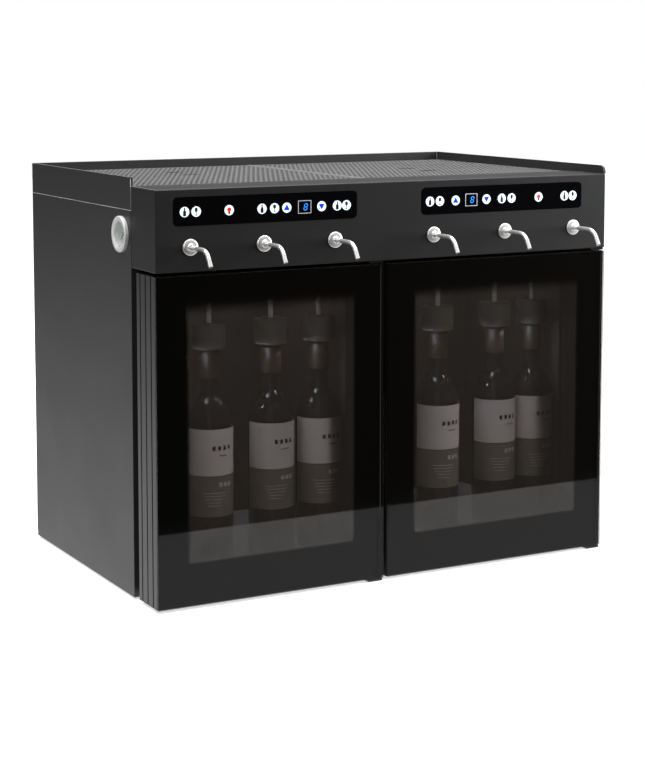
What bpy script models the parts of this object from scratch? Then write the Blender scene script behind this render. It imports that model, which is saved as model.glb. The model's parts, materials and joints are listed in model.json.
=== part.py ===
"""Six-bottle wine cooler and dispenser: two compartments behind two glass doors,
a control housing with six spouts across the front, and a railed top for glasses.

Inside the script x runs from the left side (0) to the right, y runs back from the
front plane of the doors (0), and z runs up from the table.  The empty "wine_cooler"
then puts the whole machine over the middle of its own footprint.
"""
import math

import bmesh
import bpy
from mathutils import Matrix, Vector

# ---------------------------------------------------------------- driving sizes
WIDTH = 0.772
DEPTH = 0.500
HEIGHT = 0.616
GAP = 0.0003              # clearance that resting pieces keep
RUN = 0.0006              # clearance round a piece that is pushed in by hand
SHEET = 0.002             # folded sheet metal
ROUND_STEPS = 16          # sides of an ordinary round piece

FOOT_HEIGHT = 0.012
FOOT_RADIUS = 0.016
FOOT_INSET = 0.045
SKIRT_LIFT = 0.003        # side panels end this far above the table

HOUSING_BOTTOM = 0.486
HOUSING_TOP = 0.603
HOUSING_WALL = 0.0025
HOUSING_EDGE = 0.0015

DOOR_THICK = 0.0695
DOOR_BOTTOM = 0.0050
DOOR_TOP = 0.481
DOOR_SPLIT = 0.3715       # middle of the gap between the two doors
DOOR_GAP = 0.0060
DOOR_GLASS = 0.004
FRAME_FREE_SIDE = 0.040   # widths of the door frame's four members
FRAME_HINGE_SIDE = 0.022
FRAME_TOP = 0.030
FRAME_BOTTOM = 0.044
GROOVE_WIDTH = 0.003
GROOVE_DEPTH = 0.0025
GROOVE_COUNT = 3
GROOVE_PITCH = 0.019
PIVOT_FROM_EDGE = 0.013
PIVOT_FROM_FRONT = 0.009
PIN_RADIUS = 0.0025
PIN_LENGTH = 0.008
PIN_CLEARANCE = 0.0004
HINGE_PLATE = 0.0032
GASKET_INSET = 0.007
GASKET_WIDTH = 0.012
GASKET_THICK = 0.0168
GASKET_ROOM = 0.0022      # free space between a closed door's gasket and the cabinet

CABINET_FRONT = DOOR_THICK + GASKET_THICK + GASKET_ROOM
HOUSING_JOINT = 0.0005    # between the control housing's back and the cabinet
HOUSING_DEPTH = CABINET_FRONT - HOUSING_JOINT
FLANGE = 0.014
FRAME_THICK = 0.004
INSULATION = 0.018        # outer skin to inner face, at the sides
MULLION = 0.026           # between the two compartments
COMPARTMENT_FLOOR = 0.034
COMPARTMENT_DEPTH = 0.292
LINER_WALL = 0.002

GALLERY_THICK = 0.004
GALLERY_BOTTOM = 0.568
GALLERY_EDGE = 0.0008
GALLERY_CORNER = 0.010
TRAY_WELL_SETBACK = 0.0045  # from the cabinet's front to the well of the trays
TRAY_WELL_FRONT = CABINET_FRONT + TRAY_WELL_SETBACK
DECK_THICK = 0.003
TRAY_WELL_DEPTH = 0.0100
TRAY_RECESS = 0.0008      # tray surface below the housing top
TRAY_SPLIT = 0.386
TRAY_GAP = 0.003
SLOT_LENGTH = 0.026
SLOT_WIDTH = 0.008
SLOT_FROM_END = 0.1225      # from a tray's end; the two trays are turned end for end
SLOT_PITCH = 0.065
SLOT_COUNT = 2

SPOUTS_PER_SIDE = 3
BOTTLE_SETBACK = 0.0335   # from the cabinet's front to the row of bottle axes
BOTTLE_ROW = CABINET_FRONT + BOTTLE_SETBACK
BOTTLE_XS = (0.1375, 0.2405, 0.3225, 0.5375, 0.6455, 0.7180)
LEFT_SPOUT_START = 0.0528
LEFT_SPOUT_PITCH = 0.1158
RIGHT_SPOUT_START = 0.4535
RIGHT_SPOUT_PITCH = 0.128
SPOUT_HEIGHT = 0.521
SPOUT_TUBE = 0.0032
SPOUT_BORE = 0.0019
SPOUT_RUN = 0.041         # straight run in front of the housing
SPOUT_BEND = 0.024
SPOUT_BEND_DEG = 60.0
SPOUT_END = 0.0115          # straight piece after the bend
SPOUT_TAIL = 0.040
SPOUT_STEPS = 12
BEND_STEPS = 5
ROSETTE_RADIUS = 0.012
ROSETTE_THICK = 0.004

HEAD_RADIUS = 0.0255
HEAD_BOTTOM = 0.355
HEAD_TOP = 0.394
HEAD_LID = 0.0045
HEAD_BORE = 0.0056
HEAD_LIFT = 0.055           # how far a head slides up its riser
HEAD_ROOM = 0.0255          # ceiling above a lifted head
HEAD_EDGE = 0.003
STOPPER_RADIUS = 0.0088
STOPPER_LENGTH = 0.034
RISER_RADIUS = 0.0035
RISER_BORE = 0.0018
RISER_COLLAR = 0.0050
RISER_COLLAR_HEIGHT = 0.003
RISER_SEAT = 0.008
RISER_SEAT_HEIGHT = 0.006
RISER_ABOVE_SEAT = 0.014

PANEL_LENGTH = 0.293
PANEL_HEIGHT = 0.040
PANEL_BOTTOM = 0.5515
LEFT_PANEL_START = 0.0275
RIGHT_PANEL_START = 0.4320
PANEL_CORNER = 0.0065
PANEL_THICK = 0.0036
PANEL_PROUD = 0.0006
CORNER_STEPS = 4

GAUGE_SETBACK = 0.0340     # from the cabinet's front to the gauge's axis
GAUGE_FROM_FRONT = CABINET_FRONT + GAUGE_SETBACK
GAUGE_HEIGHT = 0.532
GAUGE_RADIUS = 0.0265
GAUGE_PROUD = 0.006
GAUGE_BODY = 0.0215
GAUGE_BORE = 0.0185
GAUGE_CUP_DEPTH = 0.020
DIAL_RADIUS = 0.0180
DIAL_DEPTH = 0.004          # the dial's face behind the panel face
DIAL_THICK = 0.0015
POST_TIP = 0.002            # how far the dial's post stands in front of the panel face
LENS_THICK = 0.0016
NEEDLE_LENGTH = 0.0138
NEEDLE_WIDTH = 0.0016
NEEDLE_HUB = 0.0026
NEEDLE_THICK = 0.0008
NEEDLE_BACK = 0.0025        # depth of the pointer behind the panel face
POST_RADIUS = 0.0008        # the dial's post, on which the pointer turns
NEEDLE_ZERO_DEG = 225.0   # where the pointer rests, counted from straight up

FAN_RADIUS = 0.045
FAN_HUB = 0.016
FAN_BLADES = 7
FAN_THICK = 0.014
FAN_HEIGHT = 0.290
FAN_SHAFT = 0.0022
FAN_FROM_SINK = 0.006
SINK_WIDTH = 0.110
SINK_HEIGHT = 0.140
SINK_BASE = 0.006
SINK_FINS = 9
FIN_THICK = 0.003
FIN_DEPTH = 0.028
VENT_SLOTS = 7
VENT_WIDTH = 0.006
VENT_HEIGHT = 0.070
VENT_PITCH = 0.013
REAR_COVER_THICK = 0.0016

INLET_WIDTH = 0.048
INLET_HEIGHT = 0.030
INLET_DEPTH = 0.026
INLET_WALL = 0.0035
INLET_FLOOR = 0.006
INLET_CENTRE = (0.682, 0.060)
BLADE_SIZE = (0.002, 0.012, 0.004)
BLADE_PITCH = 0.011
SWITCH_WIDTH = 0.014
SWITCH_HEIGHT = 0.022
SWITCH_THICK = 0.010
SWITCH_PROUD = 0.002
SWITCH_X = 0.645
SWITCH_CLEAR = 0.0012
GAS_X = 0.080
GAS_HEIGHT = 0.530
GAS_PROUD = 0.012
GAS_RADIUS = 0.0060

MANIFOLD_BEHIND_ROW = 0.033
MANIFOLD_Y = BOTTLE_ROW + MANIFOLD_BEHIND_ROW
MANIFOLD_Z = 0.505
MANIFOLD_SIZE = 0.014
MANIFOLD_MARGIN = 0.030
NIPPLE_RADIUS = 0.003
NIPPLE_LENGTH = 0.010
SUPPLY_SIZE = (0.170, 0.055, 0.048)
SUPPLY_X = 0.400

# ---------------------------------------------------------------- worked-out places
SPOUT_TURN = math.radians(SPOUT_BEND_DEG)
SPOUT_REACH = SPOUT_RUN + (SPOUT_BEND + SPOUT_TUBE) * math.sin(SPOUT_TURN) + SPOUT_END * math.cos(SPOUT_TURN)
COMPARTMENT_TOP = HEAD_TOP + HEAD_LIFT + HEAD_ROOM
ORIGIN_X = GAUGE_PROUD - (WIDTH + GAUGE_PROUD) / 2
ORIGIN_Y = SPOUT_REACH - (SPOUT_REACH + DEPTH + GAS_PROUD) / 2
FRAME_BACK = CABINET_FRONT + SHEET + GAP + FRAME_THICK
LINER_FRONT = FRAME_BACK + GAP
LINER_BACK = CABINET_FRONT + COMPARTMENT_DEPTH
COVER_FRONT = DEPTH - REAR_COVER_THICK
MULLION_MIDDLE = DOOR_SPLIT
COMPARTMENTS = {
    "left": (INSULATION, MULLION_MIDDLE - MULLION / 2),
    "right": (MULLION_MIDDLE + MULLION / 2, WIDTH - INSULATION),
}
DOORS = {
    "left": (0.0, DOOR_SPLIT - DOOR_GAP / 2),
    "right": (DOOR_SPLIT + DOOR_GAP / 2, WIDTH),
}
PANELS = {"left": LEFT_PANEL_START, "right": RIGHT_PANEL_START}
DECK_TOP = HOUSING_TOP - TRAY_WELL_DEPTH
TRAY_TOP = HOUSING_TOP - TRAY_RECESS


SPOUT_XS = [start + i * pitch for start, pitch in ((LEFT_SPOUT_START, LEFT_SPOUT_PITCH),
                                                  (RIGHT_SPOUT_START, RIGHT_SPOUT_PITCH))
            for i in range(SPOUTS_PER_SIDE)]


# ---------------------------------------------------------------- modelling helpers
def clear_scene():
    for obj in list(bpy.data.objects):
        bpy.data.objects.remove(obj, do_unlink=True)


def paint(name, colour, roughness, metallic=0.0, transmission=0.0):
    material = bpy.data.materials.new(name)
    material.use_nodes = True
    shader = material.node_tree.nodes["Principled BSDF"]
    shader.inputs["Base Color"].default_value = (*colour, 1.0)
    shader.inputs["Roughness"].default_value = roughness
    shader.inputs["Metallic"].default_value = metallic
    shader.inputs["Transmission Weight"].default_value = transmission
    return material


def make_object(name, bm, material=None, smooth=False):
    bmesh.ops.recalc_face_normals(bm, faces=bm.faces)
    mesh = bpy.data.meshes.new(name)
    bm.to_mesh(mesh)
    bm.free()
    obj = bpy.data.objects.new(name, mesh)
    bpy.context.collection.objects.link(obj)
    if material:
        mesh.materials.append(material)
    if smooth:
        mesh.shade_smooth()
        mesh.set_sharp_from_angle(angle=math.radians(35))
    return obj


def box(name, low, high, material=None, edge=0.0):
    """A block between two corners, its edges rounded over when edge is given."""
    bm = bmesh.new()
    bmesh.ops.create_cube(bm, size=1.0)
    low, high = Vector(low), Vector(high)
    middle, size = (low + high) / 2, high - low
    bmesh.ops.transform(bm, matrix=Matrix.Translation(middle) @ Matrix.Diagonal((*size, 1.0)), verts=bm.verts)
    if edge:
        bmesh.ops.bevel(bm, geom=list(bm.edges), offset=edge, segments=2, profile=0.5, affect="EDGES")
    return make_object(name, bm, material)


def prism(name, outline, axis, start, end, material=None):
    """An outline drawn in the plane across the axis, pushed from start to end along it.

    The outline's two numbers are (y, z) for axis x, (x, z) for axis y and (x, y) for axis z.
    """
    place = {
        "x": lambda a, b: Vector((start, a, b)),
        "y": lambda a, b: Vector((a, start, b)),
        "z": lambda a, b: Vector((a, b, start)),
    }[axis]
    step = {"x": Vector((1, 0, 0)), "y": Vector((0, 1, 0)), "z": Vector((0, 0, 1))}[axis]
    bm = bmesh.new()
    face = bm.faces.new([bm.verts.new(place(a, b)) for a, b in outline])
    grown = bmesh.ops.extrude_face_region(bm, geom=[face])
    moved = [item for item in grown["geom"] if isinstance(item, bmesh.types.BMVert)]
    bmesh.ops.translate(bm, vec=step * (end - start), verts=moved)
    return make_object(name, bm, material)


def arc(centre, radius, start_deg, end_deg, steps):
    angles = [math.radians(start_deg + (end_deg - start_deg) * i / steps) for i in range(steps + 1)]
    return [(centre[0] + radius * math.cos(a), centre[1] + radius * math.sin(a)) for a in angles]


def rounded_outline(low, high, radius, steps=CORNER_STEPS):
    corners = [
        ((high[0] - radius, high[1] - radius), 0),
        ((low[0] + radius, high[1] - radius), 90),
        ((low[0] + radius, low[1] + radius), 180),
        ((high[0] - radius, low[1] + radius), 270),
    ]
    points = []
    for centre, start in corners:
        points += arc(centre, radius, start, start + 90, steps)
    return points


def sweep_loops(name, loops, material=None, smooth=True):
    """Skin between equal rings of points; the last ring joins the first, as on a tube wall."""
    bm = bmesh.new()
    rings = [[bm.verts.new(point) for point in loop] for loop in loops]
    count = len(rings[0])
    for ring, following in zip(rings, rings[1:] + rings[:1]):
        for i in range(count):
            j = (i + 1) % count
            bm.faces.new((ring[i], ring[j], following[j], following[i]))
    return make_object(name, bm, material, smooth)


def turned(name, profile, centre, axis, material=None, steps=ROUND_STEPS, smooth=True):
    """A closed profile of (distance along the axis, radius) turned round the axis.

    A point of radius 0 stands on the axis, so a solid piece starts and ends with one.
    """
    frames = {
        "x": (Vector((1, 0, 0)), Vector((0, 1, 0)), Vector((0, 0, 1))),
        "y": (Vector((0, 1, 0)), Vector((0, 0, 1)), Vector((1, 0, 0))),
        "z": (Vector((0, 0, 1)), Vector((1, 0, 0)), Vector((0, 1, 0))),
    }
    along, side, up = frames[axis]
    centre = Vector(centre)
    angles = [2 * math.pi * i / steps for i in range(steps)]
    bm = bmesh.new()
    rings = []
    for distance, radius in profile:
        if radius == 0.0:
            rings.append([bm.verts.new(centre + along * distance)])
        else:
            spokes = [side * math.cos(a) + up * math.sin(a) for a in angles]
            rings.append([bm.verts.new(centre + along * distance + spoke * radius) for spoke in spokes])
    solid = len(rings[0]) == 1
    pairs = list(zip(rings, rings[1:])) if solid else list(zip(rings, rings[1:] + rings[:1]))
    for ring, following in pairs:
        for i in range(steps):
            j = (i + 1) % steps
            corners = [ring[i % len(ring)], ring[j % len(ring)], following[j % len(following)],
                       following[i % len(following)]]
            unique = list(dict.fromkeys(corners))
            bm.faces.new(unique)
    return make_object(name, bm, material, smooth)


def combine(target, tool, operation):
    """Cut a tool out of the target, or weld it on, and throw the tool away."""
    modifier = target.modifiers.new(operation, "BOOLEAN")
    modifier.operation = operation
    modifier.object = tool
    modifier.solver = "EXACT"
    evaluated = target.evaluated_get(bpy.context.evaluated_depsgraph_get())
    mesh = bpy.data.meshes.new_from_object(evaluated)
    target.modifiers.clear()
    target.data = mesh
    bpy.data.objects.remove(tool, do_unlink=True)
    return target


def cut(target, tool):
    return combine(target, tool, "DIFFERENCE")


def weld(target, tool):
    return combine(target, tool, "UNION")


def open_box(name, low, high, wall, open_sides, material):
    """A block hollowed to a wall, left open on the named sides such as '-y' or '+z'."""
    target = box(name, low, high, material)
    inner_low = [value + wall for value in low]
    inner_high = [value - wall for value in high]
    beyond = 0.01
    for side in open_sides:
        index = "xyz".index(side[1])
        if side[0] == "-":
            inner_low[index] = low[index] - beyond
        else:
            inner_high[index] = high[index] + beyond
    return cut(target, box("hollow", inner_low, inner_high))


def hang(pivot_name, pivot, objects, root):
    """Put moving pieces on an empty that stands on their joint's axis."""
    empty = bpy.data.objects.new(pivot_name, None)
    bpy.context.collection.objects.link(empty)
    empty.location = pivot
    empty.parent = root
    for obj in objects:
        obj.data.transform(Matrix.Translation(-Vector(pivot)))
        obj.parent = empty


# ---------------------------------------------------------------- cabinet
def feet(rubber):
    made = []
    front = CABINET_FRONT + FOOT_INSET
    back = DEPTH - FOOT_INSET
    for tag, x, y in (
        ("front_left", FOOT_INSET, front),
        ("front_right", WIDTH - FOOT_INSET, front),
        ("back_left", FOOT_INSET, back),
        ("back_right", WIDTH - FOOT_INSET, back),
    ):
        top = FOOT_HEIGHT - GAP
        profile = [(0.0, 0.0), (0.0, FOOT_RADIUS * 0.9), (top, FOOT_RADIUS), (top, 0.0)]
        made.append(turned("foot_" + tag, profile, (x, y, 0.0), "z", rubber))
    return made


def base_pan(metal):
    low = (SHEET + GAP, FRAME_BACK + GAP, FOOT_HEIGHT)
    high = (WIDTH - SHEET - GAP, COVER_FRONT - SHEET - 2 * GAP, COMPARTMENT_FLOOR - LINER_WALL - 2 * GAP)
    return open_box("base_pan", low, high, SHEET, ["+z"], metal)


def side_panel(name, mirrored, metal):
    """A sheet with a folded flange at the front and at the back."""
    front, back = CABINET_FRONT, COVER_FRONT - GAP
    channel = [
        (0.0, front), (FLANGE, front), (FLANGE, front + SHEET), (SHEET, front + SHEET),
        (SHEET, back - SHEET), (FLANGE, back - SHEET), (FLANGE, back), (0.0, back),
    ]
    if mirrored:
        channel = [(WIDTH - x, y) for x, y in channel]
    return prism(name, channel, "z", SKIRT_LIFT, GALLERY_BOTTOM - GAP, metal)


def front_frame(plastic):
    """The plate that the door gaskets close on, with an opening for each compartment."""
    inset = SHEET + GAP
    low_y = CABINET_FRONT + SHEET + GAP
    frame = box("front_frame", (inset, low_y, DOOR_BOTTOM),
                (WIDTH - inset, low_y + FRAME_THICK, DOOR_TOP), plastic)
    for left, right in COMPARTMENTS.values():
        window = box("window", (left, 0.0, COMPARTMENT_FLOOR), (right, DEPTH, COMPARTMENT_TOP))
        cut(frame, window)
    return frame


def liner(side, plastic):
    left, right = COMPARTMENTS[side]
    low = (left - LINER_WALL, LINER_FRONT, COMPARTMENT_FLOOR - LINER_WALL)
    high = (right + LINER_WALL, LINER_BACK, COMPARTMENT_TOP + LINER_WALL)
    shell = open_box(side + "_liner", low, high, LINER_WALL, ["-y"], plastic)
    for x in BOTTLE_XS:
        if left < x < right:
            drill = turned("drill", [(0.0, 0.0), (0.0, RISER_RADIUS + GAP), (0.02, RISER_RADIUS + GAP), (0.02, 0.0)],
                           (x, BOTTLE_ROW, COMPARTMENT_TOP - 0.01), "z", smooth=False)
            cut(shell, drill)
    return shell


def rear_cover(metal):
    through = (DEPTH - 0.05, DEPTH + 0.05)
    cover = box("rear_cover", (GAP, COVER_FRONT, FOOT_HEIGHT), (WIDTH - GAP, DEPTH, GALLERY_BOTTOM - GAP), metal)
    for left, right in COMPARTMENTS.values():
        middle = (left + right) / 2
        for i in range(VENT_SLOTS):
            x = middle + (i - (VENT_SLOTS - 1) / 2) * VENT_PITCH
            slot = box("slot", (x - VENT_WIDTH / 2, through[0], FAN_HEIGHT - VENT_HEIGHT / 2),
                       (x + VENT_WIDTH / 2, through[1], FAN_HEIGHT + VENT_HEIGHT / 2))
            cut(cover, slot)
    x, z = INLET_CENTRE
    half_w, half_h = INLET_WIDTH / 2 + GAP, INLET_HEIGHT / 2 + GAP
    cut(cover, box("hole", (x - half_w, through[0], z - half_h), (x + half_w, through[1], z + half_h)))
    half_w, half_h = SWITCH_WIDTH / 2 + SWITCH_CLEAR, SWITCH_HEIGHT / 2 + SWITCH_CLEAR
    cut(cover, box("hole", (SWITCH_X - half_w, through[0], z - half_h), (SWITCH_X + half_w, through[1], z + half_h)))
    drill = [(through[0], 0.0), (through[0], GAS_RADIUS + GAP), (through[1], GAS_RADIUS + GAP), (through[1], 0.0)]
    cut(cover, turned("drill", drill, (GAS_X, 0.0, GAS_HEIGHT), "y", smooth=False))
    return cover


def top_deck(metal):
    """The strip level with the housing top, then the step down to the tray well."""
    front, back = CABINET_FRONT, DEPTH - GALLERY_THICK - GAP
    top = HOUSING_TOP
    outline = [
        (front, top), (TRAY_WELL_FRONT, top), (TRAY_WELL_FRONT, DECK_TOP), (back, DECK_TOP),
        (back, DECK_TOP - DECK_THICK), (TRAY_WELL_FRONT - DECK_THICK, DECK_TOP - DECK_THICK),
        (TRAY_WELL_FRONT - DECK_THICK, top - DECK_THICK), (front, top - DECK_THICK),
    ]
    inset = GALLERY_THICK + GAP
    return prism("top_deck", outline, "x", inset, WIDTH - inset, metal)


def gallery(metal):
    """The raised rail on the left, the back and the right; the right one reaches the front."""
    left = box("gallery_left", (0.0, CABINET_FRONT, GALLERY_BOTTOM), (GALLERY_THICK, DEPTH, HEIGHT),
               metal, GALLERY_EDGE)
    inset = GALLERY_THICK + GAP
    back = box("gallery_back", (inset, DEPTH - GALLERY_THICK, GALLERY_BOTTOM), (WIDTH - inset, DEPTH, HEIGHT),
               metal, GALLERY_EDGE)
    seat = HOUSING_TOP + GAP
    corner = arc((GALLERY_CORNER, HEIGHT - GALLERY_CORNER), GALLERY_CORNER, 180, 90, CORNER_STEPS)
    outline = [(CABINET_FRONT, seat), (0.0, seat)] + corner + [
        (DEPTH, HEIGHT), (DEPTH, GALLERY_BOTTOM), (CABINET_FRONT, GALLERY_BOTTOM),
    ]
    right = prism("gallery_right", outline, "x", WIDTH - GALLERY_THICK, WIDTH, metal)
    return [left, back, right]


def tray(side, start, end, plastic):
    """A lift-off drip tray: an inverted shallow box with finger slots."""
    low = (start, TRAY_WELL_FRONT + TRAY_GAP / 2, DECK_TOP + GAP)
    high = (end, DEPTH - GALLERY_THICK - TRAY_GAP / 2, TRAY_TOP)
    shell = open_box(side + "_tray", low, high, SHEET, ["-z"], plastic)
    for i in range(SLOT_COUNT):
        x = (start + end) / 2
        inward = SLOT_FROM_END + i * SLOT_PITCH
        y = high[1] - inward if side == "left" else low[1] + inward
        outline = rounded_outline((x - SLOT_LENGTH / 2, y - SLOT_WIDTH / 2),
                                  (x + SLOT_LENGTH / 2, y + SLOT_WIDTH / 2), SLOT_WIDTH * 0.45, 2)
        cut(shell, prism("slot", outline, "z", TRAY_TOP - 2 * SHEET, TRAY_TOP + SHEET))
    return shell


# ---------------------------------------------------------------- control housing
def control_housing(metal):
    wall = HOUSING_WALL
    housing = box("control_housing", (0.0, 0.0, HOUSING_BOTTOM), (WIDTH, HOUSING_DEPTH, HOUSING_TOP),
                  metal, HOUSING_EDGE)
    cut(housing, box("hollow", (wall, wall, HOUSING_BOTTOM + wall),
                     (WIDTH - wall, HOUSING_DEPTH + wall, HOUSING_TOP - wall)))
    for start in PANELS.values():
        outline = rounded_outline((start - GAP, PANEL_BOTTOM - GAP),
                                  (start + PANEL_LENGTH + GAP, PANEL_BOTTOM + PANEL_HEIGHT + GAP),
                                  PANEL_CORNER + GAP)
        cut(housing, prism("window", outline, "y", -wall, 2 * wall))
    for x in SPOUT_XS:
        profile = [(0.0, 0.0), (0.0, SPOUT_TUBE + GAP), (3 * wall, SPOUT_TUBE + GAP), (3 * wall, 0.0)]
        cut(housing, turned("drill", profile, (x, -wall, SPOUT_HEIGHT), "y", smooth=False))
    return housing


def control_glass(side, glass):
    start = PANELS[side]
    outline = rounded_outline((start, PANEL_BOTTOM), (start + PANEL_LENGTH, PANEL_BOTTOM + PANEL_HEIGHT),
                              PANEL_CORNER)
    return prism(side + "_control_glass", outline, "y", -PANEL_PROUD, PANEL_THICK - PANEL_PROUD, glass)


def spout(number, x, steel):
    """A hollow tube through the housing: a rosette on the face, then a bend down over the glass."""
    z = SPOUT_HEIGHT
    face = -GAP
    stations = [((SPOUT_TAIL, z), 0.0, SPOUT_TUBE)]
    stations += [((face, z), 0.0, SPOUT_TUBE), ((face, z), 0.0, ROSETTE_RADIUS)]
    stations += [((face - ROSETTE_THICK * 0.6, z), 0.0, ROSETTE_RADIUS)]
    stations += [((face - ROSETTE_THICK, z), 0.0, ROSETTE_RADIUS * 0.8)]
    stations += [((face - ROSETTE_THICK, z), 0.0, SPOUT_TUBE)]
    bend = []
    for i in range(BEND_STEPS + 1):
        turn = SPOUT_TURN * i / BEND_STEPS
        centre = (-SPOUT_RUN - SPOUT_BEND * math.sin(turn), z - SPOUT_BEND + SPOUT_BEND * math.cos(turn))
        bend.append((centre, turn))
    (end_y, end_z), turn = bend[-1]
    tip = ((end_y - SPOUT_END * math.cos(turn), end_z - SPOUT_END * math.sin(turn)), turn)
    course = bend + [tip]
    stations += [(centre, turn, SPOUT_TUBE) for centre, turn in course]
    stations += [(centre, turn, SPOUT_BORE) for centre, turn in reversed(course)]
    stations += [((SPOUT_TAIL, z), 0.0, SPOUT_BORE)]
    loops = []
    for (y, height), turn, radius in stations:
        upward = Vector((0.0, -math.sin(turn), math.cos(turn)))
        middle = Vector((x, y, height))
        angles = [2 * math.pi * i / SPOUT_STEPS for i in range(SPOUT_STEPS)]
        loops.append([middle + radius * (Vector((math.cos(a), 0, 0)) + upward * math.sin(a)) for a in angles])
    return sweep_loops("spout_%d" % number, loops, steel)


# ---------------------------------------------------------------- pouring stations
def riser_tube(number, x, steel):
    """The tube from the ceiling down into the pouring head, which hangs on its collar."""
    collar_top = HEAD_TOP - HEAD_LID - GAP
    seat = COMPARTMENT_TOP + LINER_WALL + GAP
    bottom = collar_top - RISER_COLLAR_HEIGHT
    top = seat + RISER_SEAT_HEIGHT + RISER_ABOVE_SEAT
    profile = [
        (bottom, RISER_BORE), (bottom, RISER_COLLAR), (collar_top, RISER_COLLAR), (collar_top, RISER_RADIUS),
        (seat, RISER_RADIUS), (seat, RISER_SEAT), (seat + RISER_SEAT_HEIGHT, RISER_SEAT),
        (seat + RISER_SEAT_HEIGHT, RISER_RADIUS), (top, RISER_RADIUS), (top, RISER_BORE),
    ]
    return turned("riser_tube_%d" % number, profile, (x, BOTTLE_ROW, 0.0), "z", steel, steps=12)


def pouring_head(number, x, plastic):
    """The head that plugs a bottle's neck, bored so that it can be lifted up its riser."""
    throat = RISER_RADIUS + RUN
    stopper_bottom = HEAD_BOTTOM - STOPPER_LENGTH
    profile = [
        (stopper_bottom, HEAD_BORE), (stopper_bottom, STOPPER_RADIUS * 0.9),
        (HEAD_BOTTOM, STOPPER_RADIUS), (HEAD_BOTTOM, HEAD_RADIUS - HEAD_EDGE),
        (HEAD_BOTTOM + HEAD_EDGE, HEAD_RADIUS), (HEAD_TOP - HEAD_EDGE, HEAD_RADIUS),
        (HEAD_TOP, HEAD_RADIUS - HEAD_EDGE), (HEAD_TOP, throat),
        (HEAD_TOP - HEAD_LID, throat), (HEAD_TOP - HEAD_LID, HEAD_BORE),
    ]
    return turned("pouring_head_%d" % number, profile, (x, BOTTLE_ROW, 0.0), "z", plastic)


# ---------------------------------------------------------------- doors
def door_frame(side, plastic):
    """A deep frame with upright grooves down both edges and a blind hole for each hinge pin."""
    left, right = DOORS[side]
    front, back = DOOR_GLASS + GAP, DOOR_THICK
    left_edge, right_edge = [(left, front)], [(right, front)]
    for i in range(GROOVE_COUNT):
        start = GROOVE_PITCH * (i + 1) - GROOVE_WIDTH / 2
        end = start + GROOVE_WIDTH
        left_edge += [(left, start), (left + GROOVE_DEPTH, start), (left + GROOVE_DEPTH, end), (left, end)]
        right_edge += [(right, start), (right - GROOVE_DEPTH, start), (right - GROOVE_DEPTH, end), (right, end)]
    outline = left_edge + [(left, back), (right, back)] + right_edge[::-1]
    frame = prism(side + "_door_frame", outline, "z", DOOR_BOTTOM, DOOR_TOP, plastic)
    window = box("window", (left + FRAME_FREE_SIDE, -0.01, DOOR_BOTTOM + FRAME_BOTTOM),
                 (right - FRAME_HINGE_SIDE, DOOR_THICK + 0.01, DOOR_TOP - FRAME_TOP))
    cut(frame, window)
    radius = PIN_RADIUS + PIN_CLEARANCE
    depth = PIN_LENGTH + 0.002
    profile = [(0.0, 0.0), (0.0, radius), (2 * depth, radius), (2 * depth, 0.0)]
    for middle in (DOOR_BOTTOM, DOOR_TOP):
        drill = turned("drill", profile, (right - PIVOT_FROM_EDGE, PIVOT_FROM_FRONT, middle - depth), "z",
                       smooth=False)
        cut(frame, drill)
    return frame


def door_glass(side, glass):
    left, right = DOORS[side]
    return box(side + "_door_glass", (left, 0.0, DOOR_BOTTOM), (right, DOOR_GLASS, DOOR_TOP), glass, 0.0006)


def door_gasket(side, rubber):
    left, right = DOORS[side]
    low_x, high_x = left + GASKET_INSET, right - GASKET_INSET
    low_z, high_z = DOOR_BOTTOM + GASKET_INSET, DOOR_TOP - GASKET_INSET
    front, back = DOOR_THICK + GAP, DOOR_THICK + GAP + GASKET_THICK
    ring = box(side + "_door_gasket", (low_x, front, low_z), (high_x, back, high_z), rubber)
    hole = box("hole", (low_x + GASKET_WIDTH, front - 0.01, low_z + GASKET_WIDTH),
               (high_x - GASKET_WIDTH, back + 0.01, high_z - GASKET_WIDTH))
    return cut(ring, hole)


def hinge_rail(name, plate_bottom, plate_top, pin_from, pin_to, steel):
    """A bar along the cabinet's front edge with an arm and a pin for each door."""
    pivots = [right - PIVOT_FROM_EDGE for _, right in DOORS.values()]
    arm = PIVOT_FROM_EDGE - 0.001
    bar_front, bar_back = DOOR_THICK + 0.004, CABINET_FRONT - GAP
    arm_front = PIVOT_FROM_FRONT - 0.006
    outline = [(pivots[0] - arm, bar_back), (pivots[0] - arm, arm_front), (pivots[0] + arm, arm_front),
               (pivots[0] + arm, bar_front), (pivots[1] - arm, bar_front), (pivots[1] - arm, arm_front),
               (pivots[1] + arm, arm_front), (pivots[1] + arm, bar_back)]
    rail = prism(name, outline, "z", plate_bottom, plate_top, steel)
    for x in pivots:
        pin = turned("pin", [(pin_from, 0.0), (pin_from, PIN_RADIUS), (pin_to, PIN_RADIUS), (pin_to, 0.0)],
                     (x, PIVOT_FROM_FRONT, 0.0), "z", smooth=False)
        weld(rail, pin)
    return rail


def hinge_rails(steel):
    low_top = DOOR_BOTTOM - 0.0012
    low = hinge_rail("lower_hinge_rail", low_top - HINGE_PLATE, low_top, low_top - HINGE_PLATE / 2,
                     DOOR_BOTTOM + PIN_LENGTH, steel)
    high_bottom = HOUSING_BOTTOM - GAP - HINGE_PLATE
    high = hinge_rail("upper_hinge_rail", high_bottom, high_bottom + HINGE_PLATE, DOOR_TOP - PIN_LENGTH,
                      high_bottom + HINGE_PLATE / 2, steel)
    return [low, high]


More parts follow.
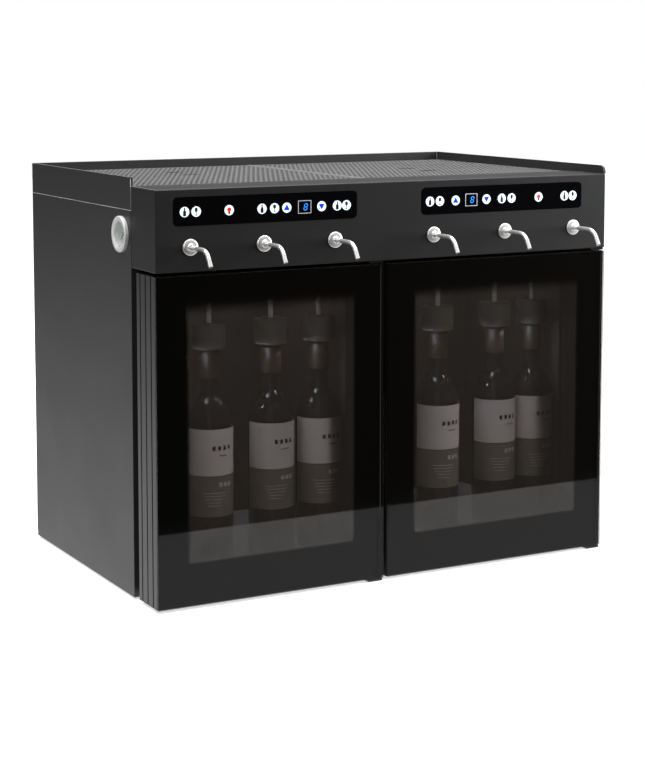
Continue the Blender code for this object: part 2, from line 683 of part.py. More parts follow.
# ---------------------------------------------------------------- pressure gauge
def gauge_case(steel):
    """A cup through the side panel with a rolled rim outside; its mouth faces left."""
    rim, body, bore, proud = GAUGE_RADIUS, GAUGE_BODY, GAUGE_BORE, GAUGE_PROUD
    profile = [
        (GAUGE_CUP_DEPTH, 0.0), (GAUGE_CUP_DEPTH, body), (-GAP, body), (-GAP, rim),
        (-proud * 0.75, rim), (-proud, rim - 0.003), (-proud, bore), (GAUGE_CUP_DEPTH - SHEET, bore),
        (GAUGE_CUP_DEPTH - SHEET, 0.0),
    ]
    return turned("gauge_case", profile, (0.0, GAUGE_FROM_FRONT, GAUGE_HEIGHT), "x", steel, steps=24)


def gauge_dial(white):
    """The dial plate with the pivot post that carries the needle."""
    front, back = DIAL_DEPTH, DIAL_DEPTH + DIAL_THICK
    post, tip = POST_RADIUS, -POST_TIP
    profile = [(back, 0.0), (back, DIAL_RADIUS), (front, DIAL_RADIUS), (front, post), (tip, post), (tip, 0.0)]
    return turned("gauge_dial", profile, (0.0, GAUGE_FROM_FRONT, GAUGE_HEIGHT), "x", white, steps=24)


def gauge_lens(glass):
    front = -GAUGE_PROUD + 0.0015
    back = front + LENS_THICK
    radius = GAUGE_BORE - GAP
    profile = [(back, 0.0), (back, radius), (front, radius), (front, 0.0)]
    return turned("gauge_lens", profile, (0.0, GAUGE_FROM_FRONT, GAUGE_HEIGHT), "x", glass, steps=24)


def gauge_needle(black):
    """A hub on the dial's post with a tapered pointer and a short tail."""
    back = NEEDLE_BACK
    front = back - NEEDLE_THICK
    bore = POST_RADIUS + GAP
    ring = [(back, bore), (back, NEEDLE_HUB), (front, NEEDLE_HUB), (front, bore)]
    hub = turned("gauge_needle", ring, (0.0, GAUGE_FROM_FRONT, GAUGE_HEIGHT), "x", black, steps=12)
    half = NEEDLE_WIDTH / 2
    start = NEEDLE_HUB * 0.7
    pointer = [(-half, start), (half, start), (half * 0.3, NEEDLE_LENGTH), (-half * 0.3, NEEDLE_LENGTH)]
    tail = [(-half, -start), (half, -start), (half, -NEEDLE_LENGTH * 0.35), (-half, -NEEDLE_LENGTH * 0.35)]
    turn = math.radians(NEEDLE_ZERO_DEG)
    for outline in (pointer, tail[::-1]):
        turned_outline = [
            (GAUGE_FROM_FRONT + a * math.cos(turn) - b * math.sin(turn),
             GAUGE_HEIGHT + a * math.sin(turn) + b * math.cos(turn)) for a, b in outline
        ]
        weld(hub, prism("arm", turned_outline, "x", front, back))
    return hub


# ---------------------------------------------------------------- machinery
def heat_sink(side, metal):
    """A finned block behind the liner; its thick middle fin carries the fan's shaft."""
    left, right = COMPARTMENTS[side]
    middle = (left + right) / 2
    start = LINER_BACK + GAP
    root, tip = start + SINK_BASE, start + SINK_BASE + FIN_DEPTH
    pitch = (SINK_WIDTH - FIN_THICK) / (SINK_FINS - 1)
    outline = [(middle - SINK_WIDTH / 2, start)]
    for i in range(SINK_FINS):
        thick = FIN_THICK * (3 if i == SINK_FINS // 2 else 1)
        x = middle + (i - (SINK_FINS - 1) / 2) * pitch
        outline += [(x - thick / 2, root), (x - thick / 2, tip), (x + thick / 2, tip), (x + thick / 2, root)]
    outline[1:2] = []
    outline[-1:] = []
    outline.append((middle + SINK_WIDTH / 2, start))
    low_z = FAN_HEIGHT - SINK_HEIGHT / 2
    block = prism(side + "_heat_sink", outline, "z", low_z, low_z + SINK_HEIGHT, metal)
    end = tip + FAN_FROM_SINK + FAN_THICK - 0.001
    shaft = turned("shaft", [(tip - 0.004, 0.0), (tip - 0.004, FAN_SHAFT), (end, FAN_SHAFT), (end, 0.0)],
                   (middle, 0.0, FAN_HEIGHT), "y", smooth=False)
    return weld(block, shaft)


def fan_rotor(side, plastic):
    """Hub and blades in one outline, bored for the shaft."""
    left, right = COMPARTMENTS[side]
    middle = (left + right) / 2
    start = LINER_BACK + GAP + SINK_BASE + FIN_DEPTH + FAN_FROM_SINK
    points = []
    share = 2 * math.pi / FAN_BLADES
    for i in range(FAN_BLADES):
        base = i * share
        points += [(FAN_HUB, base), (FAN_RADIUS * 0.97, base + share * 0.18), (FAN_RADIUS, base + share * 0.42),
                   (FAN_RADIUS * 0.98, base + share * 0.66), (FAN_HUB, base + share * 0.52)]
    outline = [(middle + r * math.cos(a), FAN_HEIGHT + r * math.sin(a)) for r, a in points]
    rotor = prism(side + "_fan", outline, "y", start, start + FAN_THICK, plastic)
    bore = FAN_SHAFT + PIN_CLEARANCE
    drill = turned("drill", [(0.0, 0.0), (0.0, bore), (3 * FAN_THICK, bore), (3 * FAN_THICK, 0.0)],
                   (middle, start - FAN_THICK, FAN_HEIGHT), "y", smooth=False)
    return cut(rotor, drill)


def power_inlet(plastic):
    """A mains socket in the rear cover, with three blades at the bottom of its mouth."""
    x, z = INLET_CENTRE
    low = (x - INLET_WIDTH / 2, DEPTH - INLET_DEPTH, z - INLET_HEIGHT / 2)
    high = (x + INLET_WIDTH / 2, DEPTH, z + INLET_HEIGHT / 2)
    socket = box("power_inlet", low, high, plastic)
    cut(socket, box("mouth", (low[0] + INLET_WALL, low[1] + INLET_FLOOR, low[2] + INLET_WALL),
                    (high[0] - INLET_WALL, high[1] + 0.01, high[2] - INLET_WALL)))
    for i in (-1, 0, 1):
        middle = x + i * BLADE_PITCH
        floor = low[1] + INLET_FLOOR
        half_w, half_h = BLADE_SIZE[0] / 2, BLADE_SIZE[2] / 2
        weld(socket, box("blade", (middle - half_w, floor - 0.001, z - half_h),
                         (middle + half_w, floor + BLADE_SIZE[1], z + half_h)))
    return socket


def rocker_switch(plastic):
    z = INLET_CENTRE[1]
    half, dip = SWITCH_HEIGHT / 2, SWITCH_PROUD
    back = DEPTH + SWITCH_PROUD
    front = back - SWITCH_THICK
    outline = [(front, z - half), (back, z - half), (back - dip, z), (back, z + half), (front, z + half)]
    return prism("rocker_switch", outline, "x", SWITCH_X - SWITCH_WIDTH / 2, SWITCH_X + SWITCH_WIDTH / 2, plastic)


def gas_inlet(brass):
    """A threaded fitting for the gas line, with a nut outside the cover."""
    start = DEPTH + GAP
    profile = [
        (COVER_FRONT - 0.015, 0.0), (COVER_FRONT - 0.015, GAS_RADIUS), (start, GAS_RADIUS),
        (start, GAS_RADIUS * 1.6), (start + 0.004, GAS_RADIUS * 1.6), (start + 0.004, GAS_RADIUS * 0.7),
        (DEPTH + GAS_PROUD, GAS_RADIUS * 0.7), (DEPTH + GAS_PROUD, 0.0),
    ]
    return turned("gas_inlet", profile, (GAS_X, 0.0, GAS_HEIGHT), "y", brass, steps=12)


def gas_manifold(brass):
    """The bar over the compartments that shares the gas out to six nipples."""
    half = MANIFOLD_SIZE / 2
    bar = box("gas_manifold", (BOTTLE_XS[0] - MANIFOLD_MARGIN, MANIFOLD_Y - half, MANIFOLD_Z),
              (BOTTLE_XS[-1] + MANIFOLD_MARGIN, MANIFOLD_Y + half, MANIFOLD_Z + MANIFOLD_SIZE), brass)
    for x in BOTTLE_XS:
        profile = [(-NIPPLE_LENGTH, 0.0), (-NIPPLE_LENGTH, NIPPLE_RADIUS), (half, NIPPLE_RADIUS), (half, 0.0)]
        weld(bar, turned("nipple", profile, (x, MANIFOLD_Y, MANIFOLD_Z), "z", smooth=False))
    return bar


def power_supply(metal):
    width, depth, height = SUPPLY_SIZE
    back = COVER_FRONT - 0.012
    floor = FOOT_HEIGHT + SHEET + GAP
    return box("power_supply", (SUPPLY_X, back - depth, floor), (SUPPLY_X + width, back, floor + height), metal,
               0.001)


# ---------------------------------------------------------------- assembly
def build():
    clear_scene()
    black = paint("black_powder_coat", (0.035, 0.036, 0.038), 0.45)
    frame_black = paint("frame_plastic", (0.03, 0.03, 0.032), 0.35)
    dark_glass = paint("tinted_glass", (0.02, 0.018, 0.016), 0.03, transmission=0.6)
    key_glass = paint("control_glass_black", (0.005, 0.005, 0.006), 0.04)
    liner_dark = paint("liner_plastic", (0.02, 0.019, 0.018), 0.6)
    rubber = paint("rubber_black", (0.012, 0.012, 0.012), 0.85)
    steel = paint("stainless_steel", (0.75, 0.75, 0.76), 0.15, metallic=1.0)
    mat_grey = paint("tray_grey", (0.30, 0.30, 0.30), 0.6)
    head_black = paint("head_plastic", (0.01, 0.01, 0.01), 0.3)
    aluminium = paint("aluminium", (0.80, 0.80, 0.82), 0.35, metallic=1.0)
    brass = paint("brass", (0.70, 0.52, 0.25), 0.3, metallic=1.0)
    dial_white = paint("dial_white", (0.75, 0.80, 0.74), 0.5)
    clear = paint("clear_glass", (0.9, 0.95, 0.9), 0.02, transmission=1.0)

    root = bpy.data.objects.new("wine_cooler", None)
    bpy.context.collection.objects.link(root)
    root.location = (ORIGIN_X, ORIGIN_Y, 0.0)

    fixed = feet(rubber) + [base_pan(black)]
    left_panel = side_panel("left_side_panel", False, black)
    gauge_hole = GAUGE_BODY + GAP
    drill = turned("drill", [(-0.01, 0.0), (-0.01, gauge_hole), (0.01, gauge_hole), (0.01, 0.0)],
                   (0.0, GAUGE_FROM_FRONT, GAUGE_HEIGHT), "x", steps=24, smooth=False)
    fixed += [cut(left_panel, drill), side_panel("right_side_panel", True, black)]
    fixed += [front_frame(frame_black), rear_cover(black), top_deck(black)]
    fixed += gallery(black)
    fixed += [control_housing(black), gauge_case(steel), gauge_dial(dial_white), gauge_lens(clear)]
    fixed += hinge_rails(steel)
    fixed += [power_inlet(head_black), gas_inlet(brass), gas_manifold(brass), power_supply(aluminium)]
    for side in COMPARTMENTS:
        fixed += [liner(side, liner_dark), heat_sink(side, aluminium), control_glass(side, key_glass)]
    for number, x in enumerate(SPOUT_XS, 1):
        fixed.append(spout(number, x, steel))
    for number, x in enumerate(BOTTLE_XS, 1):
        fixed.append(riser_tube(number, x, steel))
    for obj in fixed:
        obj.parent = root

    for side, (left, right) in DOORS.items():
        pivot = (right - PIVOT_FROM_EDGE, PIVOT_FROM_FRONT, DOOR_BOTTOM)
        pieces = [door_frame(side, frame_black), door_glass(side, dark_glass), door_gasket(side, rubber)]
        hang(side + "_door_pivot", pivot, pieces, root)
    for number, x in enumerate(BOTTLE_XS, 1):
        hang("head_slide_%d" % number, (x, BOTTLE_ROW, HEAD_BOTTOM), [pouring_head(number, x, head_black)], root)
    edge = GALLERY_THICK + TRAY_GAP / 2
    spans = {"left": (edge, TRAY_SPLIT - TRAY_GAP / 2), "right": (TRAY_SPLIT + TRAY_GAP / 2, WIDTH - edge)}
    for side, (start, end) in spans.items():
        hang(side + "_tray_slide", (start, TRAY_WELL_FRONT, DECK_TOP), [tray(side, start, end, mat_grey)], root)
    for side, (left, right) in COMPARTMENTS.items():
        hang(side + "_fan_axis", ((left + right) / 2, LINER_BACK, FAN_HEIGHT), [fan_rotor(side, head_black)], root)
    hang("needle_axis", (0.0, GAUGE_FROM_FRONT, GAUGE_HEIGHT), [gauge_needle(head_black)], root)
    switch_axis = (SWITCH_X, DEPTH + SWITCH_PROUD - SWITCH_THICK / 2, INLET_CENTRE[1])
    hang("switch_axis", switch_axis, [rocker_switch(head_black)], root)


build()
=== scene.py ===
# %% [markdown]
# # A countertop wine cooler, finished in Blender
# The engineering model arrives as a fixed frame: every sheet, door, spout and hinge is already in its
# place, in metres.  This file gives each of them its finish, and swaps the plain stand-ins for
# finely made pieces.  It is read from top to bottom, like a workbench diary.

# %% Load the frame and take its measurements
import json
import math

import bmesh
import bpy
from mathutils import Matrix, Vector

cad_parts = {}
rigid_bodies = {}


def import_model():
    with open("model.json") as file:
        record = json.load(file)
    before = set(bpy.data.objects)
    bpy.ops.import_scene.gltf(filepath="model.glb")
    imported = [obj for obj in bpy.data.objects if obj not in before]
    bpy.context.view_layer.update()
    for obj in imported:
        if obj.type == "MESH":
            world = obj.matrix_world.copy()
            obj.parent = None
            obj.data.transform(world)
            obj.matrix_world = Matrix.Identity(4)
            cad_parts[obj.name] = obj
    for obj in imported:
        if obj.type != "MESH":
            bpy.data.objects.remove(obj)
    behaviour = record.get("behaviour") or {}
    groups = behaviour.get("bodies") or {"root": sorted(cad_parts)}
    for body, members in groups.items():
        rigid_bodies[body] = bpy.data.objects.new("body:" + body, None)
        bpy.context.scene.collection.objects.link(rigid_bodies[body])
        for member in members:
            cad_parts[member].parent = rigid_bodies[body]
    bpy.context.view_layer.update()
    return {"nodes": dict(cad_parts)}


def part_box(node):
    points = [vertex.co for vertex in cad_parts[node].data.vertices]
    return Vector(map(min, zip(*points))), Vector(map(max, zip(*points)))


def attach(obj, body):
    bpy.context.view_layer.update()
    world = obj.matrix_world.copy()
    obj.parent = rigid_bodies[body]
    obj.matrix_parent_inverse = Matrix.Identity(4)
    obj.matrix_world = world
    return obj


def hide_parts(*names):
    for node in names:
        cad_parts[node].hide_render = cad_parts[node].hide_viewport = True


for leftover in list(bpy.data.objects):
    bpy.data.objects.remove(leftover, do_unlink=True)

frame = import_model()
nodes = frame["nodes"]

housing_low, housing_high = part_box("control_housing")
LEFT, RIGHT = housing_low.x, housing_high.x
FRONT = housing_low.y
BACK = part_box("gallery_back")[1].y
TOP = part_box("gallery_left")[1].z
SIDES = ("left", "right")
STATIONS = range(1, 7)
print("cabinet", round(RIGHT - LEFT, 3), "wide,", round(BACK - FRONT, 3), "deep,", round(TOP, 3), "tall")

# %% [markdown]
# ## The camera
# Product pictures of heavy appliances are taken with a long lens from the front-left corner, a little
# above the lid.  The place is given from the front-left edge of the cabinet, so the camera would
# follow if the machine were moved.  A small downward shift does part of the tilting, which keeps
# the upright edges nearly parallel, as an architect's lens would.

# %% Camera
CAMERA_OFFSET = Vector((-1.0261, -2.3811, 0.7864))
CAMERA_TURN = 28.44        # degrees to the right of straight back
CAMERA_DIP = 5.62          # degrees below level
LENS_MM = 87.0
LENS_SHIFT = -0.1885

camera_data = bpy.data.cameras.new("camera")
camera_data.lens = LENS_MM
camera_data.sensor_width = 36.0
camera_data.shift_y = LENS_SHIFT
camera_data.clip_end = 50.0
camera = bpy.data.objects.new("camera", camera_data)
camera.location = Vector((LEFT, FRONT, 0.0)) + CAMERA_OFFSET
camera.rotation_euler = (math.radians(90 - CAMERA_DIP), 0.0, math.radians(-CAMERA_TURN))
bpy.context.scene.collection.objects.link(camera)
bpy.context.scene.camera = camera
print("camera at", [round(v, 2) for v in camera.location])

# %% [markdown]
# ## Making meshes
# Nearly everything on an appliance is turned, folded, drawn through a die or cut from sheet.  So four
# helpers do most of the work: one turns a profile, one pushes an outline into a plate, one
# draws a tube along a path, and one turns a finished mesh into a named piece that rides on a body.

# %% Turn a bmesh into a piece
SMOOTH_ANGLE = 32.0


def piece(name, bm, material, body, smooth=True):
    """A finished mesh as an object: smoothed below a sharp angle, painted, and riding on a body."""
    bmesh.ops.recalc_face_normals(bm, faces=bm.faces)
    mesh = bpy.data.meshes.new(name)
    bm.to_mesh(mesh)
    bm.free()
    mesh.materials.append(material)
    if smooth:
        mesh.shade_smooth()
        mesh.set_sharp_from_angle(angle=math.radians(SMOOTH_ANGLE))
    obj = bpy.data.objects.new(name, mesh)
    bpy.context.scene.collection.objects.link(obj)
    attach(obj, body)
    return obj


# %% Turning, plates and tubes
AXES = {
    "x": (Vector((1, 0, 0)), Vector((0, 1, 0)), Vector((0, 0, 1))),
    "y": (Vector((0, 1, 0)), Vector((0, 0, 1)), Vector((1, 0, 0))),
    "z": (Vector((0, 0, 1)), Vector((1, 0, 0)), Vector((0, 1, 0))),
}


def bridge(bm, loops, closed=True):
    """Join rings of the same length with four-sided faces, and the last ring to the first if closed."""
    for ring, following in zip(loops, loops[1:] + loops[:1] if closed else loops[1:]):
        for i in range(len(ring)):
            j = (i + 1) % len(ring)
            bm.faces.new((ring[i], ring[j], following[j], following[i]))


def thicken(bm, faces, shift):
    """Make flat faces into a plate by pushing a copy of them along a vector."""
    grown = bmesh.ops.extrude_face_region(bm, geom=faces)
    moved = [item for item in grown["geom"] if isinstance(item, bmesh.types.BMVert)]
    bmesh.ops.translate(bm, vec=shift, verts=moved)


def lathe(bm, profile, centre, axis="z", steps=48):
    """Turn (distance, radius) points round an axis; radius 0 closes the shape on the axis."""
    along, side, up = AXES[axis]
    centre = Vector(centre)
    rings = []
    for distance, radius in profile:
        if radius == 0.0:
            rings.append([bm.verts.new(centre + along * distance)])
            continue
        ring = []
        for i in range(steps):
            angle = 2 * math.pi * i / steps
            ring.append(bm.verts.new(centre + along * distance
                                     + (side * math.cos(angle) + up * math.sin(angle)) * radius))
        rings.append(ring)
    closed = len(rings[0]) > 1
    pairs = zip(rings, rings[1:] + rings[:1]) if closed else zip(rings, rings[1:])
    for ring, following in pairs:
        for i in range(steps):
            j = (i + 1) % steps
            corners = [ring[i % len(ring)], ring[j % len(ring)],
                       following[j % len(following)], following[i % len(following)]]
            bm.faces.new(list(dict.fromkeys(corners)))
    return bm


def lay_out(bm, outline, axis, depth):
    """The corners of a flat outline that is drawn across an axis, at a place along it."""
    along, side, up = AXES[axis]
    if axis == "y":
        side, up = up, side
    return [bm.verts.new(along * depth + side * a + up * b) for a, b in outline]


def plate(bm, outline, axis, start, end):
    """Push an outline drawn across an axis from start to end along it."""
    face = bm.faces.new(lay_out(bm, outline, axis, start))
    thicken(bm, [face], AXES[axis][0] * (end - start))
    return bm


def ring_plate(bm, outer, inner, axis, start, end):
    """A flat frame between two outlines that have the same number of points."""
    levels = ((outer, start), (outer, end), (inner, end), (inner, start))
    bridge(bm, [lay_out(bm, outline, axis, depth) for outline, depth in levels])


def tube(bm, path, radius, steps=24):
    """A round rod along a path of points that lies in a plane across the x axis."""
    rings = []
    for i, point in enumerate(path):
        before, after = path[max(i - 1, 0)], path[min(i + 1, len(path) - 1)]
        heading = (Vector(after) - Vector(before)).normalized()
        side = Vector((1, 0, 0))
        up = heading.cross(side)
        ring = [bm.verts.new(Vector(point) + (side * math.cos(a) + up * math.sin(a)) * radius)
                for a in (2 * math.pi * k / steps for k in range(steps))]
        rings.append(ring)
    bridge(bm, rings, closed=False)
    return rings


def block(bm, low, high, edge=0.0):
    """A block between two corners, with its edges rounded over when edge is given."""
    low, high = Vector(low), Vector(high)
    made = bmesh.ops.create_cube(bm, size=1.0)
    scale = Matrix.Diagonal((*(high - low), 1.0))
    bmesh.ops.transform(bm, matrix=Matrix.Translation((low + high) / 2) @ scale, verts=made["verts"])
    if edge:
        edges = list({e for v in made["verts"] for e in v.link_edges})
        bmesh.ops.bevel(bm, geom=edges, offset=edge, segments=3, profile=0.5, affect="EDGES")
    return bm


def arc(centre, radius, start, end, steps):
    """Points on a circle between two angles in degrees."""
    angles = [math.radians(start + (end - start) * i / steps) for i in range(steps + 1)]
    return [(centre[0] + radius * math.cos(a), centre[1] + radius * math.sin(a)) for a in angles]


def rectangle(low, high):
    """The corners of a rectangle, counted round from its lower left one."""
    return [(low[0], low[1]), (high[0], low[1]), (high[0], high[1]), (low[0], high[1])]


def rounded(low, high, radius, steps=8):
    """The outline of a rectangle with round corners."""
    left, right = low[0] + radius, high[0] - radius
    bottom, top = low[1] + radius, high[1] - radius
    points = []
    for quarter, centre in enumerate(((right, top), (left, top), (left, bottom), (right, bottom))):
        points += arc(centre, radius, 90 * quarter, 90 * quarter + 90, steps)
    return points


# %% [markdown]
# ## Finishes
# A finish is more than a colour.  Powder coat has a fine pebble, moulded plastic a grain, drawn steel
# has lines along the tube, and polished glass carries a few smears.  Each of these effects is used
# on several materials, so each is a node group with its own knobs.

# %% A small kit for building node groups
def new_group(name, inputs, outputs):
    """An empty shader group with (name, default) number inputs and named outputs."""
    group = bpy.data.node_groups.new(name, "ShaderNodeTree")
    for label, default in inputs:
        socket = group.interface.new_socket(name=label, in_out="INPUT", socket_type="NodeSocketFloat")
        socket.default_value = default
    for label, kind in outputs:
        group.interface.new_socket(name=label, in_out="OUTPUT", socket_type=kind)
    return group, group.nodes.new("NodeGroupInput"), group.nodes.new("NodeGroupOutput")


def feed(tree, socket, value):
    """Link a socket to another one, or set it to a plain number."""
    if isinstance(value, bpy.types.NodeSocket):
        tree.links.new(value, socket)
    else:
        socket.default_value = value


def math_node(tree, operation, first, second, clamp=False):
    """A Math node fed by sockets or plain numbers."""
    node = tree.nodes.new("ShaderNodeMath")
    node.operation = operation
    node.use_clamp = clamp
    feed(tree, node.inputs[0], first)
    feed(tree, node.inputs[1], second)
    return node.outputs[0]


def mix_numbers(tree, factor, low, high):
    """low where factor is 0, high where it is 1."""
    node = tree.nodes.new("ShaderNodeMix")
    node.data_type = "FLOAT"
    for index, value in ((0, factor), (2, low), (3, high)):
        feed(tree, node.inputs[index], value)
    return node.outputs[0]


# %% Grain: pebble of a coated or moulded surface
def make_grain():
    group, source, out = new_group(
        "grain",
        [("Scale", 900.0), ("Blotch Scale", 14.0), ("Rough Low", 0.4), ("Rough High", 0.5), ("Shade", 0.15)],
        [("Tone", "NodeSocketFloat"), ("Roughness", "NodeSocketFloat"), ("Height", "NodeSocketFloat")],
    )
    place = group.nodes.new("ShaderNodeTexCoord")
    pebble = group.nodes.new("ShaderNodeTexNoise")
    blotch = group.nodes.new("ShaderNodeTexNoise")
    pebble.inputs["Detail"].default_value = 2.0
    blotch.inputs["Detail"].default_value = 4.0
    for texture, label in ((pebble, "Scale"), (blotch, "Blotch Scale")):
        group.links.new(place.outputs["Object"], texture.inputs["Vector"])
        group.links.new(source.outputs[label], texture.inputs["Scale"])
    rough = mix_numbers(group, blotch.outputs["Fac"], source.outputs["Rough Low"],
                        source.outputs["Rough High"])
    swing = math_node(group, "SUBTRACT", blotch.outputs["Fac"], 0.5)
    speck = math_node(group, "SUBTRACT", pebble.outputs["Fac"], 0.5)
    both = math_node(group, "ADD", swing, speck)
    shade = math_node(group, "MULTIPLY", both, source.outputs["Shade"])
    group.links.new(math_node(group, "ADD", shade, 1.0), out.inputs["Tone"])
    group.links.new(rough, out.inputs["Roughness"])
    group.links.new(pebble.outputs["Fac"], out.inputs["Height"])
    return group


GRAIN = make_grain()


# %% Drawn lines: the long scratches of drawn, turned or brushed metal
def make_drawn_lines():
    group, source, out = new_group(
        "drawn lines",
        [("Scale", 60.0), ("Across", 40.0), ("Rough Low", 0.1), ("Rough High", 0.25)],
        [("Mask", "NodeSocketFloat"), ("Roughness", "NodeSocketFloat"), ("Height", "NodeSocketFloat")],
    )
    place = group.nodes.new("ShaderNodeTexCoord")
    stretch = group.nodes.new("ShaderNodeMapping")
    spread = group.nodes.new("ShaderNodeCombineXYZ")
    group.links.new(source.outputs["Across"], spread.inputs["X"])
    group.links.new(source.outputs["Across"], spread.inputs["Z"])
    spread.inputs["Y"].default_value = 1.0
    group.links.new(place.outputs["Object"], stretch.inputs["Vector"])
    group.links.new(spread.outputs["Vector"], stretch.inputs["Scale"])
    lines = group.nodes.new("ShaderNodeTexNoise")
    lines.inputs["Detail"].default_value = 3.0
    group.links.new(stretch.outputs["Vector"], lines.inputs["Vector"])
    group.links.new(source.outputs["Scale"], lines.inputs["Scale"])
    rough = mix_numbers(group, lines.outputs["Fac"], source.outputs["Rough Low"],
                        source.outputs["Rough High"])
    group.links.new(lines.outputs["Fac"], out.inputs["Mask"])
    group.links.new(rough, out.inputs["Roughness"])
    group.links.new(lines.outputs["Fac"], out.inputs["Height"])
    return group


DRAWN = make_drawn_lines()


# %% Smears: the wiping marks that polished glass and chrome always carry
def make_smears():
    group, source, out = new_group(
        "smears",
        [("Scale", 6.0), ("Threshold", 0.5), ("Clean", 0.02), ("Smeared", 0.08)],
        [("Mask", "NodeSocketFloat"), ("Roughness", "NodeSocketFloat")],
    )
    place = group.nodes.new("ShaderNodeTexCoord")
    cloud = group.nodes.new("ShaderNodeTexNoise")
    cloud.inputs["Detail"].default_value = 5.0
    cloud.inputs["Distortion"].default_value = 0.6
    group.links.new(place.outputs["Object"], cloud.inputs["Vector"])
    group.links.new(source.outputs["Scale"], cloud.inputs["Scale"])
    above = math_node(group, "SUBTRACT", cloud.outputs["Fac"], source.outputs["Threshold"], clamp=True)
    mask = math_node(group, "MULTIPLY", above, 3.0, clamp=True)
    group.links.new(mask, out.inputs["Mask"])
    group.links.new(mix_numbers(group, mask, source.outputs["Clean"], source.outputs["Smeared"]),
                    out.inputs["Roughness"])
    return group


SMEARS = make_smears()
print("node groups:", [g.name for g in bpy.data.node_groups])


# %% [markdown]
# A material is then a Principled shader, one group and the values that make it this finish.  Numbers
# that are the same all over the surface sit on the shader itself.

# %% Material helpers
def bare_material(name, colour, roughness=0.5, metallic=0.0, **values):
    """A Principled material; extra values are shader sockets named in plain words."""
    material = bpy.data.materials.new(name)
    material.use_nodes = True
    shader = material.node_tree.nodes["Principled BSDF"]
    shader.inputs["Base Color"].default_value = (*colour, 1.0)
    shader.inputs["Roughness"].default_value = roughness
    shader.inputs["Metallic"].default_value = metallic
    for label, value in values.items():
        shader.inputs[label.replace("_", " ").title().replace("Ior", "IOR")].default_value = value
    return material, shader


def add_group(material, group, values):
    node = material.node_tree.nodes.new("ShaderNodeGroup")
    node.node_tree = group
    for label, value in values.items():
        node.inputs[label].default_value = value
    return node


def tint(tree, colour, tone, target):
    """Multiply a colour by a changing tone and feed it to a colour socket."""
    scale = tree.nodes.new("ShaderNodeVectorMath")
    scale.operation = "SCALE"
    scale.inputs[0].default_value = colour
    tree.links.new(tone, scale.inputs["Scale"])
    tree.links.new(scale.outputs["Vector"], target)


def bump(material, shader, height, distance, strength=1.0):
    tree = material.node_tree
    node = tree.nodes.new("ShaderNodeBump")
    node.inputs["Strength"].default_value = strength
    node.inputs["Distance"].default_value = distance
    tree.links.new(height, node.inputs["Height"])
    tree.links.new(node.outputs["Normal"], shader.inputs["Normal"])


def grained(name, colour, rough, scale=900.0, depth=0.00004, shade=0.15, blotch=14.0, **values):
    """A coated or moulded surface: colour, a roughness range, and the size and depth of its grain."""
    material, shader = bare_material(name, colour, rough[0], **values)
    grain = add_group(material, GRAIN, {"Scale": scale, "Blotch Scale": blotch, "Rough Low": rough[0],
                                        "Rough High": rough[1], "Shade": shade})
    tint(material.node_tree, colour, grain.outputs["Tone"], shader.inputs["Base Color"])
    material.node_tree.links.new(grain.outputs["Roughness"], shader.inputs["Roughness"])
    bump(material, shader, grain.outputs["Height"], depth)
    return material


def drawn(name, colour, rough, scale=60.0, across=40.0, depth=0.00001):
    """A metal with long fine lines."""
    material, shader = bare_material(name, colour, rough[0], 1.0)
    lines = add_group(material, DRAWN, {"Scale": scale, "Across": across, "Rough Low": rough[0],
                                        "Rough High": rough[1]})
    material.node_tree.links.new(lines.outputs["Roughness"], shader.inputs["Roughness"])
    bump(material, shader, lines.outputs["Height"], depth, 0.5)
    return material


def satin(name, colour, rough, metal):
    """A brushed metal that is only partly metallic, so the rest of it answers to soft light as paint does."""
    material = drawn(name, colour, rough)
    material.node_tree.nodes["Principled BSDF"].inputs["Metallic"].default_value = metal
    return material


def glossy(name, colour, clean=0.02, smeared=0.08, metallic=0.0, scale=6.0, **values):
    """A polished surface with faint smears."""
    material, shader = bare_material(name, colour, clean, metallic, **values)
    smears = add_group(material, SMEARS, {"Scale": scale, "Clean": clean, "Smeared": smeared})
    material.node_tree.links.new(smears.outputs["Roughness"], shader.inputs["Roughness"])
    return material


def glowing(name, colour, strength):
    """A face lit from behind, with the sheen of a printed key."""
    material, shader = bare_material(name, colour, 0.35, emission_color=(*colour, 1.0),
                                     emission_strength=strength)
    smears = add_group(material, SMEARS, {"Scale": 40.0, "Clean": 0.25, "Smeared": 0.4})
    material.node_tree.links.new(smears.outputs["Roughness"], shader.inputs["Roughness"])
    return material


# %% [markdown]
# The cabinet is folded steel with a satin black powder coat.  The coat is nearly black, but its broad
# sheen picks up the pale table at a low angle, which is why the side looks grey near its foot.
# The door frames and the front frame are moulded plastic, a little darker and smoother.

# %% The object's finishes
COAT = grained("black powder coat", (0.022, 0.0222, 0.023), (0.40, 0.50), 1100.0, 0.00003)
FRAME_PLASTIC = grained("door frame plastic", (0.014, 0.014, 0.0145), (0.30, 0.38), 700.0, 0.00002,
                        specular_ior_level=0.40)
# Painted shade: the housing gets a darker, less shiny copy of the black powder coat.
SHADED_HOUSING_COAT = grained("housing powder coat with painted shade", (0.0155, 0.0157, 0.0162), (0.40, 0.48), 1100.0, 0.00003,
                       specular_ior_level=0.28)
LINER = grained("compartment liner", (0.115, 0.096, 0.083), (0.45, 0.6), 500.0, 0.00005, 0.25)
RUBBER = grained("gasket rubber", (0.012, 0.012, 0.0125), (0.6, 0.75), 600.0, 0.00004)
MAT = grained("grey drip mat", (0.092, 0.092, 0.092), (0.45, 0.6), 900.0, 0.00005, 0.3)
FLOOR_MAT = grained("ribbed floor mat", (0.55, 0.55, 0.56), (0.5, 0.65), 300.0, 0.00005, 0.5)
HEAD_PLASTIC = grained("pouring head plastic", (0.150, 0.136, 0.120), (0.22, 0.32), 800.0, 0.00002)
MOULDED = grained("black moulded plastic", (0.012, 0.012, 0.012), (0.35, 0.5), 800.0, 0.00003)
STEEL = satin("satin stainless tube", (0.90, 0.87, 0.82), (0.25, 0.35), 0.2)
